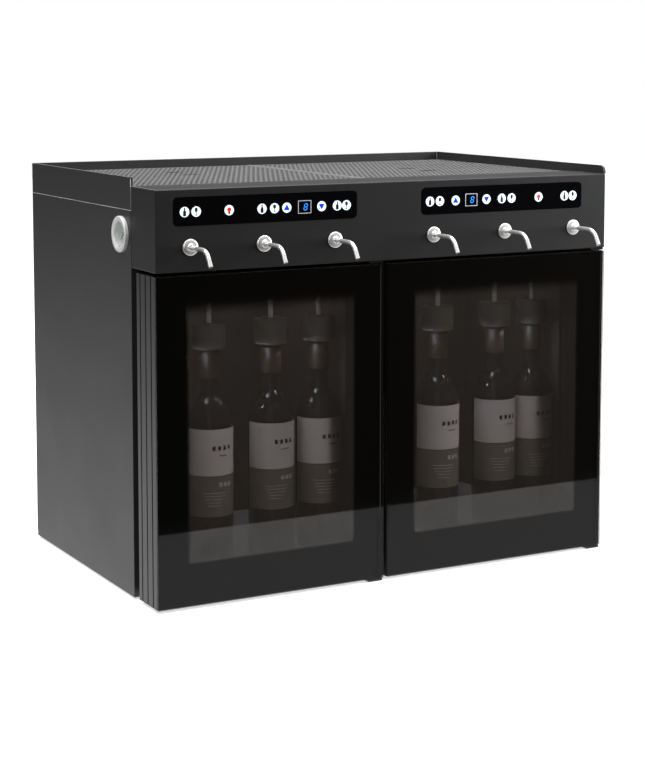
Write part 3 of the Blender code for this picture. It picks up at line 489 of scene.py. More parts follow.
SPOUT_STEEL = satin("polished stainless spout", (0.94, 0.93, 0.91), (0.10, 0.18), 0.6)
CHROME = satin("spun rim chrome", (0.95, 0.95, 0.94), (0.20, 0.32), 0.15)
ALUMINIUM = drawn("extruded aluminium", (0.72, 0.73, 0.75), (0.3, 0.45), 40.0, 30.0)
BRASS = drawn("turned brass", (0.62, 0.45, 0.2), (0.2, 0.35), 80.0, 30.0)
KEY_GLASS = glossy("black control glass", (0.0015, 0.0015, 0.002), 0.03, 0.07)
DIVIDER = grained("tray divider", (0.30, 0.30, 0.30), (0.4, 0.5), 900.0, 0.00001)
# Pale paint for thin lines along sheet edges: painted highlights where the edges catch the light.
EDGE_HIGHLIGHT_PAINT = grained("painted edge highlight", (0.62, 0.62, 0.63), (0.35, 0.45), 900.0, 0.00001)
# Near-black paint for a strip and a small triangle on each door: painted shade for a groove and a notch.
GROOVE_SHADE_PAINT = grained("painted groove shade", (0.002, 0.002, 0.002), (0.7, 0.8), 900.0, 0.00001)
DOOR_GLASS = glossy("tinted door glass", (0.004, 0.0035, 0.003), 0.01, 0.02, alpha=0.46)
LENS_GLASS = glossy("gauge lens glass", (0.72, 0.90, 0.85), 0.01, 0.04, alpha=0.12, scale=60.0)
DIAL = grained("dial enamel", (0.78, 0.82, 0.79), (0.3, 0.4), 900.0, 0.00001, 0.06)
DIAL_INK = grained("dial ink", (0.02, 0.02, 0.02), (0.4, 0.5), 900.0, 0.00001)
DIAL_GREEN = grained("dial green band", (0.05, 0.32, 0.24), (0.4, 0.5), 900.0, 0.00001)
KEY_WHITE = glowing("lit key face", (0.80, 0.93, 0.97), 0.55)
KEY_BLUE = glowing("lit blue arrow", (0.0, 0.02, 0.80), 0.85)
KEY_RED = glowing("lit red lamp sign", (0.85, 0.01, 0.01), 0.8)
DIGIT_BLUE = glowing("display digit", (0.03, 0.25, 0.95), 1.6)
KEY_INK = grained("key sign ink", (0.006, 0.012, 0.016), (0.3, 0.4), 900.0, 0.00001)
BEZEL_WHITE = grained("display rim", (0.55, 0.58, 0.62), (0.35, 0.45), 900.0, 0.00001)
BOTTLE_GLASS = glossy("dark bottle glass", (0.035, 0.033, 0.027), 0.04, 0.09, scale=18.0,
                      specular_ior_level=0.7, alpha=0.62)
CAPSULE = grained("bottle capsule", (0.058, 0.036, 0.024), (0.35, 0.45), 400.0, 0.00002)
PAPER = grained("pale label paper", (0.74, 0.66, 0.64), (0.6, 0.75), 500.0, 0.00003, 0.1)
OLIVE_PAPER = grained("dark label paper", (0.19, 0.165, 0.135), (0.6, 0.75), 500.0, 0.00003, 0.3)
LABEL_INK = grained("label ink", (0.035, 0.03, 0.03), (0.5, 0.6), 500.0, 0.00001)
LABEL_GREEN = grained("label leaf ink", (0.10, 0.16, 0.115), (0.5, 0.6), 500.0, 0.00001)
LABEL_PALE = grained("label pale ink", (0.55, 0.52, 0.46), (0.5, 0.6), 500.0, 0.00001)
SCREW = drawn("blackened screw", (0.06, 0.06, 0.062), (0.3, 0.45), 200.0, 10.0)


# %% [markdown]
# The black border of a door is printed on the back of its glass.  Its inner rim is painted shade: the
# black thins out to nothing there, so the window darkens towards its edges and has no hard edge.
# Each corner of the printed mesh carries a number called fade, and the ink reads its own opacity from it.

# %% Printed ink with a painted shade rim, and films of painted glow
def make_rim_shade_fade():
    group, source, out = new_group("painted rim fade", [("Strength", 1.0)], [("Alpha", "NodeSocketFloat")])
    mark = group.nodes.new("ShaderNodeAttribute")
    mark.attribute_name = "fade"
    ease = group.nodes.new("ShaderNodeMapRange")
    ease.interpolation_type = "SMOOTHSTEP"
    group.links.new(mark.outputs["Fac"], ease.inputs["Value"])
    group.links.new(math_node(group, "MULTIPLY", ease.outputs["Result"], source.outputs["Strength"]),
                    out.inputs["Alpha"])
    return group


RIM_SHADE_FADE = make_rim_shade_fade()


# Black print whose inner rim fades out, painted shade along the window's edges.
def border_print_and_rim_shade():
    material = glossy("black printed border with painted rim shade", (0.0012, 0.0012, 0.0014), 0.12, 0.2)
    shader = material.node_tree.nodes["Principled BSDF"]
    fade = add_group(material, RIM_SHADE_FADE, {})
    material.node_tree.links.new(fade.outputs["Alpha"], shader.inputs["Alpha"])
    return material


def film(name, glow, alpha, blotch, shade):
    """A thin film that lets most light through and adds a faint, slightly cloudy painted glow; it is no lamp.
    """
    material, shader = bare_material(name, (0.0, 0.0, 0.0), 0.5, alpha=alpha, emission_strength=1.0,
                                     specular_ior_level=0.0)
    grain = add_group(material, GRAIN, {"Scale": 700.0, "Blotch Scale": blotch, "Shade": shade})
    full_glow = [value / alpha for value in glow]
    tint(material.node_tree, full_glow, grain.outputs["Tone"], shader.inputs["Emission Color"])
    return material


BORDER_PRINT_AND_SHADE = border_print_and_rim_shade()
# Painted glow over the whole window, standing in for lamp light scattered in the glass.
PAINTED_LAMP_HAZE = film("painted lamp haze on the glass", (0.0190, 0.0150, 0.0125), 0.12, 20.0, 0.25)
# Painted glow along the window's foot, standing in for the lit floor mat seen through the glass.
PAINTED_MAT_GLOW = film("painted mat glow on the glass", (0.075, 0.075, 0.074), 0.35, 90.0, 1.3)
print("finishes:", len(bpy.data.materials))


# %% [markdown]
# ## The sheet metal and mouldings
# The frame's own meshes are true to size, so they stay.  They only lack the small radius that
# a press brake or a mould leaves on every edge.  A Weld modifier closes the split corners and
# a Bevel modifier rounds them, and that thin rounded line is what catches the light.

# %% Paint the frame's own pieces
FOLD_RADIUS = 0.0006
MOULD_RADIUS = 0.0005


def soften(node, width):
    """Close a body's split corners and round its edges, without touching its mesh."""
    obj = nodes[node]
    weld = obj.modifiers.new("weld", "WELD")
    weld.merge_threshold = 0.00002
    bevel = obj.modifiers.new("folded edge", "BEVEL")
    bevel.width = width
    bevel.segments = 2
    bevel.limit_method = "ANGLE"
    bevel.angle_limit = math.radians(40)
    bevel.harden_normals = True


def paint(material, *names):
    """Give a material to bodies that keep the frame's own mesh."""
    for name in names:
        nodes[name].data.materials.clear()
        nodes[name].data.materials.append(material)


SHEET_METAL = ("base_pan", "left_side_panel", "right_side_panel", "rear_cover", "top_deck", "gallery_left",
               "gallery_back", "gallery_right", "power_supply")
FEET = ["foot_%s_%s" % (end, side) for end in ("front", "back") for side in SIDES]
paint(COAT, *SHEET_METAL)
# The housing's darker coat is painted shade.
paint(SHADED_HOUSING_COAT, "control_housing")
paint(FRAME_PLASTIC, "front_frame", "left_door_frame", "right_door_frame")
paint(LINER, "left_liner", "right_liner")
paint(RUBBER, *FEET)
paint(SCREW, "lower_hinge_rail", "upper_hinge_rail")
paint(DOOR_GLASS, "left_door_glass", "right_door_glass")
paint(KEY_GLASS, "left_control_glass", "right_control_glass")
paint(ALUMINIUM, "left_heat_sink", "right_heat_sink")
paint(MOULDED, "power_inlet", "rocker_switch")
paint(BRASS, "gas_inlet", "gas_manifold")
paint(STEEL, *["riser_tube_%d" % n for n in STATIONS])
for name in ("left_side_panel", "right_side_panel", "top_deck", "control_housing"):
    soften(name, FOLD_RADIUS)
for name in ("left_door_frame", "right_door_frame"):
    soften(name, MOULD_RADIUS)
print("painted", len(nodes), "frame nodes")


# %% [markdown]
# Where one sheet meets its neighbour, its edge catches the light as a thin bright line, and each
# such line is a painted highlight: a thin pale strip.  The left gallery plate has one along its foot,
# one up its front edge and one along its top.  The back right corner has one, and so has the left end
# of the control housing's top.

# %% Painted edge highlights
THREAD = 0.0009        # how wide the bright line is
SKIN = 0.00012         # how far it stands off the sheet


def painted_edge_highlights():
    """All the painted edge highlights, as thin pale blocks in one piece."""
    low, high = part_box("gallery_left")
    back_low, back_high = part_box("gallery_back")
    corner_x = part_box("gallery_right")[0].x
    bm = bmesh.new()
    block(bm, (low.x - SKIN, low.y, low.z), (low.x, high.y, low.z + THREAD))
    block(bm, (low.x - SKIN, low.y - SKIN, low.z), (low.x + THREAD, low.y, high.z - 0.002))
    block(bm, (low.x + 0.0002, low.y, high.z - SKIN), (low.x + THREAD, high.y - 0.002, high.z))
    block(bm, (corner_x - THREAD, back_low.y - SKIN, back_low.z + 0.02), (corner_x, back_low.y, back_high.z))
    block(bm, (LEFT + 0.0004, FRONT + 0.002, housing_high.z),
          (LEFT + THREAD, housing_high.y, housing_high.z + SKIN))
    return piece("painted_edge_highlights", bm, EDGE_HIGHLIGHT_PAINT, "cabinet", smooth=False)


painted_edge_highlights()


# %% [markdown]
# ## Spouts
# A spout is a short stainless tube that leaves a domed rosette and bends down over the glass.  A tube
# with a true bore looks right at its cut end, so the outer wall is drawn along the bend, turned
# round at the mouth and led back inside.

# %% Spouts
SPOUT_BEND = 0.024
SPOUT_TURN = math.radians(60)
SPOUT_END = 0.0115
SPOUT_RADIUS = 0.0032
SPOUT_BORE = 0.0024
SPOUT_MOUTH = 0.007        # how deep the bore is drawn
SPOUT_STEPS = 32
BEND_STEPS = 12
ROSETTE_RADIUS = 0.012


def spout_course(node):
    """Centre line of a tube: straight out of the face, round the bend, then on to the mouth."""
    low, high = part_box(node)
    x, height = (low.x + high.x) / 2, high.z - ROSETTE_RADIUS
    mouth_y = low.y + SPOUT_RADIUS * math.sin(SPOUT_TURN)
    bend_y = mouth_y + SPOUT_END * math.cos(SPOUT_TURN) + SPOUT_BEND * math.sin(SPOUT_TURN)
    path = [(x, FRONT - 0.002, height), (x, (FRONT + bend_y) / 2, height)]
    for i in range(BEND_STEPS + 1):
        turn = SPOUT_TURN * i / BEND_STEPS
        drop = SPOUT_BEND * (1 - math.cos(turn))
        path.append((x, bend_y - SPOUT_BEND * math.sin(turn), height - drop))
    _, y, z = path[-1]
    path.append((x, y - SPOUT_END * math.cos(SPOUT_TURN), z - SPOUT_END * math.sin(SPOUT_TURN)))
    return path


def spout(node):
    """A bent tube with an open mouth, and the domed rosette that it leaves the housing through."""
    course = spout_course(node)
    bm = bmesh.new()
    outer = tube(bm, course, SPOUT_RADIUS, SPOUT_STEPS)
    end = Vector(course[-1])
    inward = (Vector(course[-2]) - end).normalized() * SPOUT_MOUTH
    lip = tube(bm, [end, end + inward * 0.5, end + inward], SPOUT_BORE, SPOUT_STEPS)
    bm.faces.new(lip[-1])
    facing = [min(lip[0], key=lambda v, o=o: (v.co - o.co).length) for o in outer[-1]]
    bridge(bm, [outer[-1], facing], closed=False)
    bm.faces.new(outer[0])
    dome = [(-0.0008 - 0.0030 * math.cos(math.radians(t)) ** 0.8, ROSETTE_RADIUS * math.sin(math.radians(t)))
            for t in range(80, 25, -10)]
    profile = [(0.0, 0.0), (0.0, ROSETTE_RADIUS), (-0.0008, ROSETTE_RADIUS), *dome, (-0.0050, 0.0048),
               (-0.0054, 0.0042), (-0.0054, 0.0)]
    lathe(bm, profile, (course[0][0], FRONT - 0.0003, course[0][2]), "y", 48)
    made = piece(node + "_polished", bm, SPOUT_STEEL, "cabinet")
    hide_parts(node)
    return made


spouts = [spout("spout_%d" % n) for n in STATIONS]
print("spouts:", len(spouts))


# %% [markdown]
# ## Pouring heads
# Each head is a ringed drum on a rubber stopper that plugs a bottle.  The profile of both is written
# with loops: thirteen shallow grooves between two plain rims, and three swellings down the stopper.

# %% Pouring heads
DRUM_HEIGHT = 0.039
DRUM_RIM = 0.0045          # plain height above and below the grooves
RING_COUNT = 13
RING_DEPTH = 0.0005
STOPPER_RINGS = 3
STOPPER_RADIUS = 0.0078
HEAD_BORE = 0.0056         # round the riser tube
HEAD_STEPS = 64


def head_profile(low, top, radius):
    """Height and radius from the stopper's foot, up the drum's side and in over its dished top."""
    bottom = top - DRUM_HEIGHT
    points = [(low, HEAD_BORE), (low, STOPPER_RADIUS)]
    step = (bottom - low) / STOPPER_RINGS
    for i in range(STOPPER_RINGS):
        base = low + i * step
        points += [(base + step * 0.25, 0.0086), (base + step * 0.55, 0.0088),
                   (base + step * 0.8, STOPPER_RADIUS)]
    points += [(bottom, STOPPER_RADIUS), (bottom, radius - 0.003), (bottom + 0.001, radius - 0.001),
               (bottom + 0.0022, radius)]
    start, end = bottom + DRUM_RIM, top - DRUM_RIM
    pitch = (end - start) / RING_COUNT
    groove = radius - RING_DEPTH
    for i in range(RING_COUNT):
        base = start + i * pitch
        points += [(base, radius), (base + pitch * 0.35, groove), (base + pitch * 0.65, groove)]
    points += [(end, radius), (top - 0.0022, radius), (top - 0.001, radius - 0.001), (top, radius - 0.003)]
    points += [(top, radius - 0.008), (top - 0.0015, radius - 0.009), (top - 0.0015, 0.009), (top, 0.008)]
    points += [(top, 0.0042), (top - 0.0045, 0.0042), (top - 0.0045, HEAD_BORE)]
    return points


def head_axis(number):
    """The upright axis that a head, its tube and its bottle share, as a point on the floor."""
    low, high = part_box("pouring_head_%d" % number)
    return ((low.x + high.x) / 2, (low.y + high.y) / 2, 0.0)


def pouring_head(number):
    low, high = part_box("pouring_head_%d" % number)
    profile = head_profile(low.z, high.z, (high.x - low.x) / 2)
    bm = lathe(bmesh.new(), profile, head_axis(number), "z", HEAD_STEPS)
    made = piece("ringed_head_%d" % number, bm, HEAD_PLASTIC, "head_%d" % number)
    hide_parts("pouring_head_%d" % number)
    return made


heads = [pouring_head(n) for n in STATIONS]
print("pouring heads:", len(heads))


# %% [markdown]
# ## Drip trays
# The top carries two grey mats pierced with round holes in offset rows.  A texture would look flat at
# this low angle, so the holes are real.  Each hole sits in its own small rectangle, ringed
# by eight faces.  Rows are shifted by half a hole, and the short gaps that this leaves at the row
# ends are filled with plain half cells.

# %% Pierced drip trays
HOLE_PITCH = 0.0085
HOLE_RADIUS = 0.0030
TRAY_RIM = 0.006
TRAY_SHEET = 0.0012
TRAY_WALL = 0.0015
SLOT_CELLS = 3             # holes left out for each finger slot
WELD_DISTANCE = 0.00001


def hole_cell(bm, low, high, radius):
    """A rectangle with a round hole, as eight faces between its edge and the hole."""
    middle = ((low[0] + high[0]) / 2, (low[1] + high[1]) / 2)
    edge = [(high[0], middle[1]), (high[0], high[1]), (middle[0], high[1]), (low[0], high[1]),
            (low[0], middle[1]), (low[0], low[1]), (middle[0], low[1]), (high[0], low[1])]
    outer = [bm.verts.new((x, y, 0.0)) for x, y in edge]
    inner = [bm.verts.new((middle[0] + radius * math.cos(a), middle[1] + radius * math.sin(a), 0.0))
             for a in (math.radians(45 * i) for i in range(8))]
    for i in range(8):
        j = (i + 1) % 8
        bm.faces.new((outer[i], outer[j], inner[j], inner[i]))


def flat_cell(bm, low, high):
    """A plain rectangle that shares the corners of the pierced cells beside it."""
    middle = (low[1] + high[1]) / 2
    corners = [(low[0], low[1]), (high[0], low[1]), (high[0], middle), (high[0], high[1]),
               (low[0], high[1]), (low[0], middle)]
    bm.faces.new([bm.verts.new((x, y, 0.0)) for x, y in corners])


def slot_centres(node):
    """Where a tray's finger slots are, read from the frame's own mesh: the inner edges of its top."""
    low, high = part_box(node)
    inside = [v.co for v in nodes[node].data.vertices
              if v.co.z > high.z - 0.0001 and low.x + 0.05 < v.co.x < high.x - 0.05
              and low.y + 0.03 < v.co.y < high.y - 0.03]
    ys = sorted(v.y for v in inside)
    split = (ys[0] + ys[-1]) / 2
    centres = []
    for group in ([v for v in inside if v.y > split], [v for v in inside if v.y <= split]):
        xs = [v.x for v in group]
        ys = [v.y for v in group]
        centres.append(((min(xs) + max(xs)) / 2, (min(ys) + max(ys)) / 2))
    return centres


def pierced_tray(side):
    """A thin pierced sheet with a plain rim, on four walls."""
    low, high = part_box(side + "_tray")
    slots = slot_centres(side + "_tray")
    x0, y0 = low.x + TRAY_RIM, low.y + TRAY_RIM
    columns = int((high.x - low.x - 2 * TRAY_RIM) / HOLE_PITCH)
    rows = int((high.y - low.y - 2 * TRAY_RIM) / HOLE_PITCH)
    pitch_x = (high.x - low.x - 2 * TRAY_RIM) / columns
    pitch_y = (high.y - low.y - 2 * TRAY_RIM) / rows
    bm = bmesh.new()
    for r in range(rows):
        bottom, top = y0 + r * pitch_y, y0 + (r + 1) * pitch_y
        shift = pitch_x / 2 if r % 2 else 0.0
        if shift:
            flat_cell(bm, (x0, bottom), (x0 + shift, top))
            flat_cell(bm, (x0 + columns * pitch_x - shift, bottom), (x0 + columns * pitch_x, top))
        for c in range(columns - (1 if shift else 0)):
            start = x0 + c * pitch_x + shift
            middle = (start + pitch_x / 2, (bottom + top) / 2)
            inside = [abs(middle[0] - sx) < SLOT_CELLS * pitch_x / 2 and abs(middle[1] - sy) < pitch_y / 2
                      for sx, sy in slots]
            if not any(inside):
                hole_cell(bm, (start, bottom), (start + pitch_x, top), HOLE_RADIUS)
    x1, y1 = x0 + columns * pitch_x, y0 + rows * pitch_y
    for strip in (((low.x, low.y), (high.x, y0)), ((low.x, y1), (high.x, high.y)),
                  ((low.x, y0), (x0, y1)), ((x1, y0), (high.x, y1))):
        flat_cell(bm, *strip)
    bmesh.ops.remove_doubles(bm, verts=bm.verts, dist=WELD_DISTANCE)
    bmesh.ops.translate(bm, vec=(0, 0, high.z - TRAY_SHEET), verts=bm.verts)
    thicken(bm, list(bm.faces), (0, 0, TRAY_SHEET))
    for start, end in (((low.x, low.y), (high.x, low.y + TRAY_WALL)),
                       ((low.x, high.y - TRAY_WALL), (high.x, high.y)),
                       ((low.x, low.y), (low.x + TRAY_WALL, high.y)),
                       ((high.x - TRAY_WALL, low.y), (high.x, high.y))):
        block(bm, (*start, low.z), (*end, high.z - TRAY_SHEET))
    made = piece(side + "_pierced_tray", bm, MAT, side + "_tray_body", smooth=False)
    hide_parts(side + "_tray")
    return made, slots


trays = {side: pierced_tray(side) for side in SIDES}
print("tray faces:", {side: len(made.data.polygons) for side, (made, _) in trays.items()})


# %% [markdown]
# Each finger slot is finished with a thin moulded rim, so that the cut edge doesn't scratch.  A light
# strip closes the gap between the two trays.

# %% Finger slot rims and the strip between the trays
RIM_OUTER, RIM_OUTER_CORNER = (0.0155, 0.0062), 0.0050
RIM_INNER, RIM_INNER_CORNER = (0.0125, 0.0036), 0.0032


def slot_rims(side):
    """A moulded rim round each finger slot: it laps over the top and reaches down inside."""
    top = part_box(side + "_tray")[1].z
    bm = bmesh.new()
    for x, y in trays[side][1]:
        outer, inner = [rounded((x - half_x, y - half_y), (x + half_x, y + half_y), corner, 5)
                        for (half_x, half_y), corner in ((RIM_OUTER, RIM_OUTER_CORNER),
                                                         (RIM_INNER, RIM_INNER_CORNER))]
        levels = ((outer, top - 0.0001), (outer, top + 0.0002), (inner, top + 0.0002), (inner, top - 0.003))
        bridge(bm, [lay_out(bm, outline, "z", z) for outline, z in levels])
    return piece(side + "_slot_rims", bm, MOULDED, side + "_tray_body")


def tray_divider():
    """The light strip that closes the gap between the two trays."""
    left_high, right_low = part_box("left_tray")[1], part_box("right_tray")[0]
    low, high = (left_high.x + 0.0004, right_low.y + 0.001), (right_low.x - 0.0004, left_high.y - 0.001)
    bm = block(bmesh.new(), (*low, right_low.z + 0.001), (*high, left_high.z + 0.0006))
    return piece("tray_divider", bm, DIVIDER, "cabinet", smooth=False)


for side in SIDES:
    slot_rims(side)
tray_divider()


# %% [markdown]
# ## Control glasses
# Behind each black glass a lamp lights round keys: a bottle and a wine glass for the pour size,
# a lamp sign, two arrows and a one-digit display.  The signs are plain shapes of our own,
# drawn in a unit circle and then scaled, and each layer sits a hair in front of the one behind.

# %% Shapes of the key signs
KEY_RADIUS = 0.0073
LAYER = 0.00012
GLASS_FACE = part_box("left_control_glass")[0].y


def mirrored(right):
    """A closed outline from its right half, listed from the foot up."""
    return [right + [(-a, b) for a, b in reversed(right)]]


def bottle_sign():
    return mirrored([(0.31, -0.80), (0.31, 0.05), (0.13, 0.34), (0.13, 0.84)])


def goblet_sign():
    """Foot, stem and an open bowl."""
    bowl = [(0.31 * math.cos(a), 0.26 + 0.36 * math.sin(a))
            for a in (math.radians(-80 + 20 * i) for i in range(5))]
    return mirrored([(0.26, -0.76), (0.26, -0.68), (0.07, -0.60)] + bowl + [(0.26, 0.72)])


def lamp_sign():
    return [arc((0.0, 0.12), 0.42, -62, 242, 16)]


def lamp_base():
    return [rectangle((-0.20, -0.72), (0.20, -0.25))]


def lamp_rays():
    """Five short strokes that fan out over the lamp."""
    rays = []
    for angle in (10, 50, 90, 130, 170):
        a = math.radians(angle)
        outward, across = Vector((math.cos(a), math.sin(a))), Vector((-math.sin(a), math.cos(a))) * 0.035
        centre = Vector((0.0, 0.10))
        near, far = centre + outward * 0.54, centre + outward * 0.76
        rays.append([tuple(near - across), tuple(far - across), tuple(far + across), tuple(near + across)])
    return rays


def arrow_sign(direction):
    return [[(-0.66, -0.48 * direction), (0.66, -0.48 * direction), (0.0, 0.68 * direction)]]


def disc():
    return [arc((0.0, 0.0), 1.0, 0, 350, 35)]


def stamp(bm, outlines, x, z, size, layer):
    """Lay flat outlines on the control glass as thin plates, a number of layers proud."""
    start = GLASS_FACE - layer * LAYER
    for outline in outlines:
        placed = [(x + a * size, z + b * size) for a, b in outline]
        plate(bm, placed, "y", start, start - LAYER * 0.6)


# %% [markdown]
# Where the keys stand along each glass is measured from the glass's left end.

# %% Keys and displays
KEY_ROWS = {
    "left": [(0.0166, "bottle"), (0.0344, "goblet"), (0.0856, "lamp"), (0.1375, "bottle"), (0.1576, "goblet"),
             (0.1773, "up"), (0.2063, "digit"), (0.2342, "down"), (0.2601, "bottle"), (0.2754, "goblet")],
    "right": [(0.0144, "bottle"), (0.0317, "goblet"), (0.0598, "up"), (0.0878, "digit"), (0.1153, "down"),
              (0.1431, "bottle"), (0.1612, "goblet"), (0.2115, "lamp"), (0.2603, "bottle"),
              (0.2760, "goblet")],
}
SIGNS = {"bottle": bottle_sign(), "goblet": goblet_sign(), "up": arrow_sign(1), "down": arrow_sign(-1),
         "lamp": lamp_sign()}
DISPLAY_HALF = (0.0107, 0.0095)
DISPLAY_RIM = 0.0009
DIGIT_HALF = (0.0025, 0.0045)
DIGIT_STROKE = 0.00095
DIGIT_TIP = 0.0004
DIGIT_SLANT = 0.2
DIGIT_SHIFT = 0.0018       # the digit stands right of the display's middle
ROW_DROP = 0.0005          # the keys stand a little below the glass's middle


def lean(points):
    """Slant an upright outline to the right, and move it to the digit's place in the display."""
    return [(a + b * DIGIT_SLANT + DIGIT_SHIFT, b) for a, b in points]


def digit_strokes():
    """The seven strokes of a figure eight, each pointed at both ends."""
    half_w, half_h = DIGIT_HALF
    gap, half, tip = DIGIT_STROKE * 0.55, DIGIT_STROKE / 2, DIGIT_TIP
    end = half_w - gap
    level = [[(-end, z), (-end + tip, z - half), (end - tip, z - half), (end, z), (end - tip, z + half),
              (-end + tip, z + half)] for z in (-half_h, 0.0, half_h)]
    upright = [[(x, low), (x + half, low + tip), (x + half, high - tip), (x, high), (x - half, high - tip),
                (x - half, low + tip)]
               for x in (-half_w, half_w) for low, high in ((-half_h + gap, -gap), (gap, half_h - gap))]
    return [lean(stroke) for stroke in level + upright]


def display(layers, x, z):
    """A fine light rim round a one-digit display."""
    half_w, half_h = DISPLAY_HALF
    inner_w, inner_h = half_w - DISPLAY_RIM, half_h - DISPLAY_RIM
    start = GLASS_FACE - LAYER * 0.2
    ring_plate(layers["rim"], rounded((x - half_w, z - half_h), (x + half_w, z + half_h), 0.0006, 2),
               rounded((x - inner_w, z - inner_h), (x + inner_w, z + inner_h), 0.0003, 2),
               "y", start, start - 0.0003)
    stamp(layers["digit"], digit_strokes(), x, z, 1.0, 1)


def control_keys(side):
    """Every key and display of one glass, gathered into one piece for each finish."""
    low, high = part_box(side + "_control_glass")
    z = (low.z + high.z) / 2 - ROW_DROP
    layers = {label: bmesh.new() for label in ("faces", "ink", "blue", "red", "rim", "digit")}
    for offset, kind in KEY_ROWS[side]:
        x = low.x + offset
        if kind == "digit":
            display(layers, x, z)
            continue
        stamp(layers["faces"], disc(), x, z, KEY_RADIUS, 1)
        target = {"up": "blue", "down": "blue", "lamp": "red"}.get(kind, "ink")
        stamp(layers[target], SIGNS[kind], x, z, KEY_RADIUS, 2)
        if kind == "lamp":
            stamp(layers["ink"], lamp_rays(), x, z, KEY_RADIUS, 2)
            stamp(layers["ink"], lamp_base(), x, z, KEY_RADIUS, 3)
    finishes = {"faces": KEY_WHITE, "ink": KEY_INK, "blue": KEY_BLUE, "red": KEY_RED, "rim": BEZEL_WHITE,
                "digit": DIGIT_BLUE}
    return [piece("%s_key_%s" % (side, label), bm, finishes[label], "cabinet")
            for label, bm in layers.items()]


keys = {side: control_keys(side) for side in SIDES}
print("key layers:", sum(len(group) for group in keys.values()))


# %% [markdown]
# ## Pressure gauge
# The gauge sits in the left side panel with a rolled chrome rim.  The rim and the cup behind it are
# one turned shape.  The dial has a scale of ticks with plain numbers and one green band for the
# working pressure.

# %% Gauge case and lens
GAUGE_STEPS = 96
case_low, case_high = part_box("gauge_case")
GAUGE_CENTRE = Vector((LEFT, (case_low.y + case_high.y) / 2, (case_low.z + case_high.z) / 2))
GAUGE_RADIUS = (case_high.z - case_low.z) / 2
GAUGE_PROUD = LEFT - case_low.x
GAUGE_BODY, GAUGE_BORE = 0.0215, 0.0185
BEZEL_STEP = GAUGE_BORE + 0.0022
ROLL_RADIUS = 0.0018
CUP_FLOOR = 0.002


def gauge_rim():
    """A broad flat bezel with a rolled outer edge, one step down to the glass, and the cup behind it."""
    front, depth = -GAUGE_PROUD, case_high.x - LEFT
    roll = [(front + ROLL_RADIUS * (1 - math.sin(a)), GAUGE_RADIUS - ROLL_RADIUS * (1 - math.cos(a)))
            for a in (math.radians(15 * i) for i in range(7))]
    profile = [(depth, 0.0), (depth, GAUGE_BODY), (-0.0003, GAUGE_BODY), (-0.0003, GAUGE_RADIUS), *roll,
               (front + 0.0004, BEZEL_STEP + 0.0006), (front + 0.0010, BEZEL_STEP),
               (front + 0.0012, GAUGE_BORE + 0.0006), (front + 0.0018, GAUGE_BORE),
               (depth - CUP_FLOOR, GAUGE_BORE), (depth - CUP_FLOOR, 0.0)]
    bm = lathe(bmesh.new(), profile, GAUGE_CENTRE, "x", GAUGE_STEPS)
    made = piece("gauge_rolled_rim", bm, CHROME, "cabinet")
    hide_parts("gauge_case")
    return made


def gauge_lens():
    """The glass disc, with its front edge ground off."""
    low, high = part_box("gauge_lens")
    radius = (high.z - low.z) / 2
    back, front = high.x - LEFT, low.x - LEFT
    profile = [(back, 0.0), (back, radius), (front + 0.0007, radius), (front, radius - 0.001), (front, 0.0)]
    bm = lathe(bmesh.new(), profile, GAUGE_CENTRE, "x", GAUGE_STEPS)
    made = piece("gauge_window", bm, LENS_GLASS, "cabinet")
    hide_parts("gauge_lens")
    return made


gauge_rim()
gauge_lens()


# %% Dial, scale and needle
SCALE_START, SCALE_SWEEP, TICKS = 225.0, 270.0, 31
NUMBERS = 4
BAND_START, BAND_MARKS, BAND_PITCH = 20, 12, 4        # degrees
DIAL_RADIUS, DIAL_THICK = 0.0180, 0.0015
PIVOT_RADIUS, PIVOT_REACH = 0.0008, 0.002
MARK_PROUD = 0.00015
DIAL_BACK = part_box("gauge_dial")[1].x - LEFT
DIAL_FACE = DIAL_BACK - DIAL_THICK


def dial_point(angle, radius):
    """A point on the dial; angles run clockwise as the face is read, from straight up."""
    a = math.radians(angle)
    return (GAUGE_CENTRE.y - radius * math.sin(a), GAUGE_CENTRE.z + radius * math.cos(a))


def radial_mark(bm, angle, inner, outer, width):
    """A short bar on the dial that points at its middle."""
    a = math.radians(angle)
    across = Vector((-math.cos(a), -math.sin(a))) * width / 2
    near, far = Vector(dial_point(angle, inner)), Vector(dial_point(angle, outer))
    outline = [tuple(near - across), tuple(far - across), tuple(far + across), tuple(near + across)]
    plate(bm, outline, "x", LEFT + DIAL_FACE - MARK_PROUD, LEFT + DIAL_FACE - MARK_PROUD * 0.1)


def dial_face():
    """The white disc with the pivot that carries the needle, its ticks and its green band."""
    profile = [(DIAL_BACK, 0.0), (DIAL_BACK, DIAL_RADIUS), (DIAL_FACE, DIAL_RADIUS),
               (DIAL_FACE, PIVOT_RADIUS), (-PIVOT_REACH, PIVOT_RADIUS), (-PIVOT_REACH, 0.0)]
    bm = lathe(bmesh.new(), profile, GAUGE_CENTRE, "x", GAUGE_STEPS)
    made = piece("gauge_dial_face", bm, DIAL, "cabinet")
    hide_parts("gauge_dial")
    ticks = bmesh.new()
    for i in range(TICKS):
        angle = -SCALE_START + SCALE_SWEEP * i / (TICKS - 1)
        inner, width = (0.0130, 0.0006) if i % 5 == 0 else (0.0145, 0.00035)
        radial_mark(ticks, angle, inner, 0.0160, width)
    piece("gauge_ticks", ticks, DIAL_INK, "cabinet")
    band = bmesh.new()
    for i in range(BAND_MARKS):
        radial_mark(band, BAND_START + i * BAND_PITCH, 0.0164, 0.0175, 0.0014)
    piece("gauge_band", band, DIAL_GREEN, "cabinet")


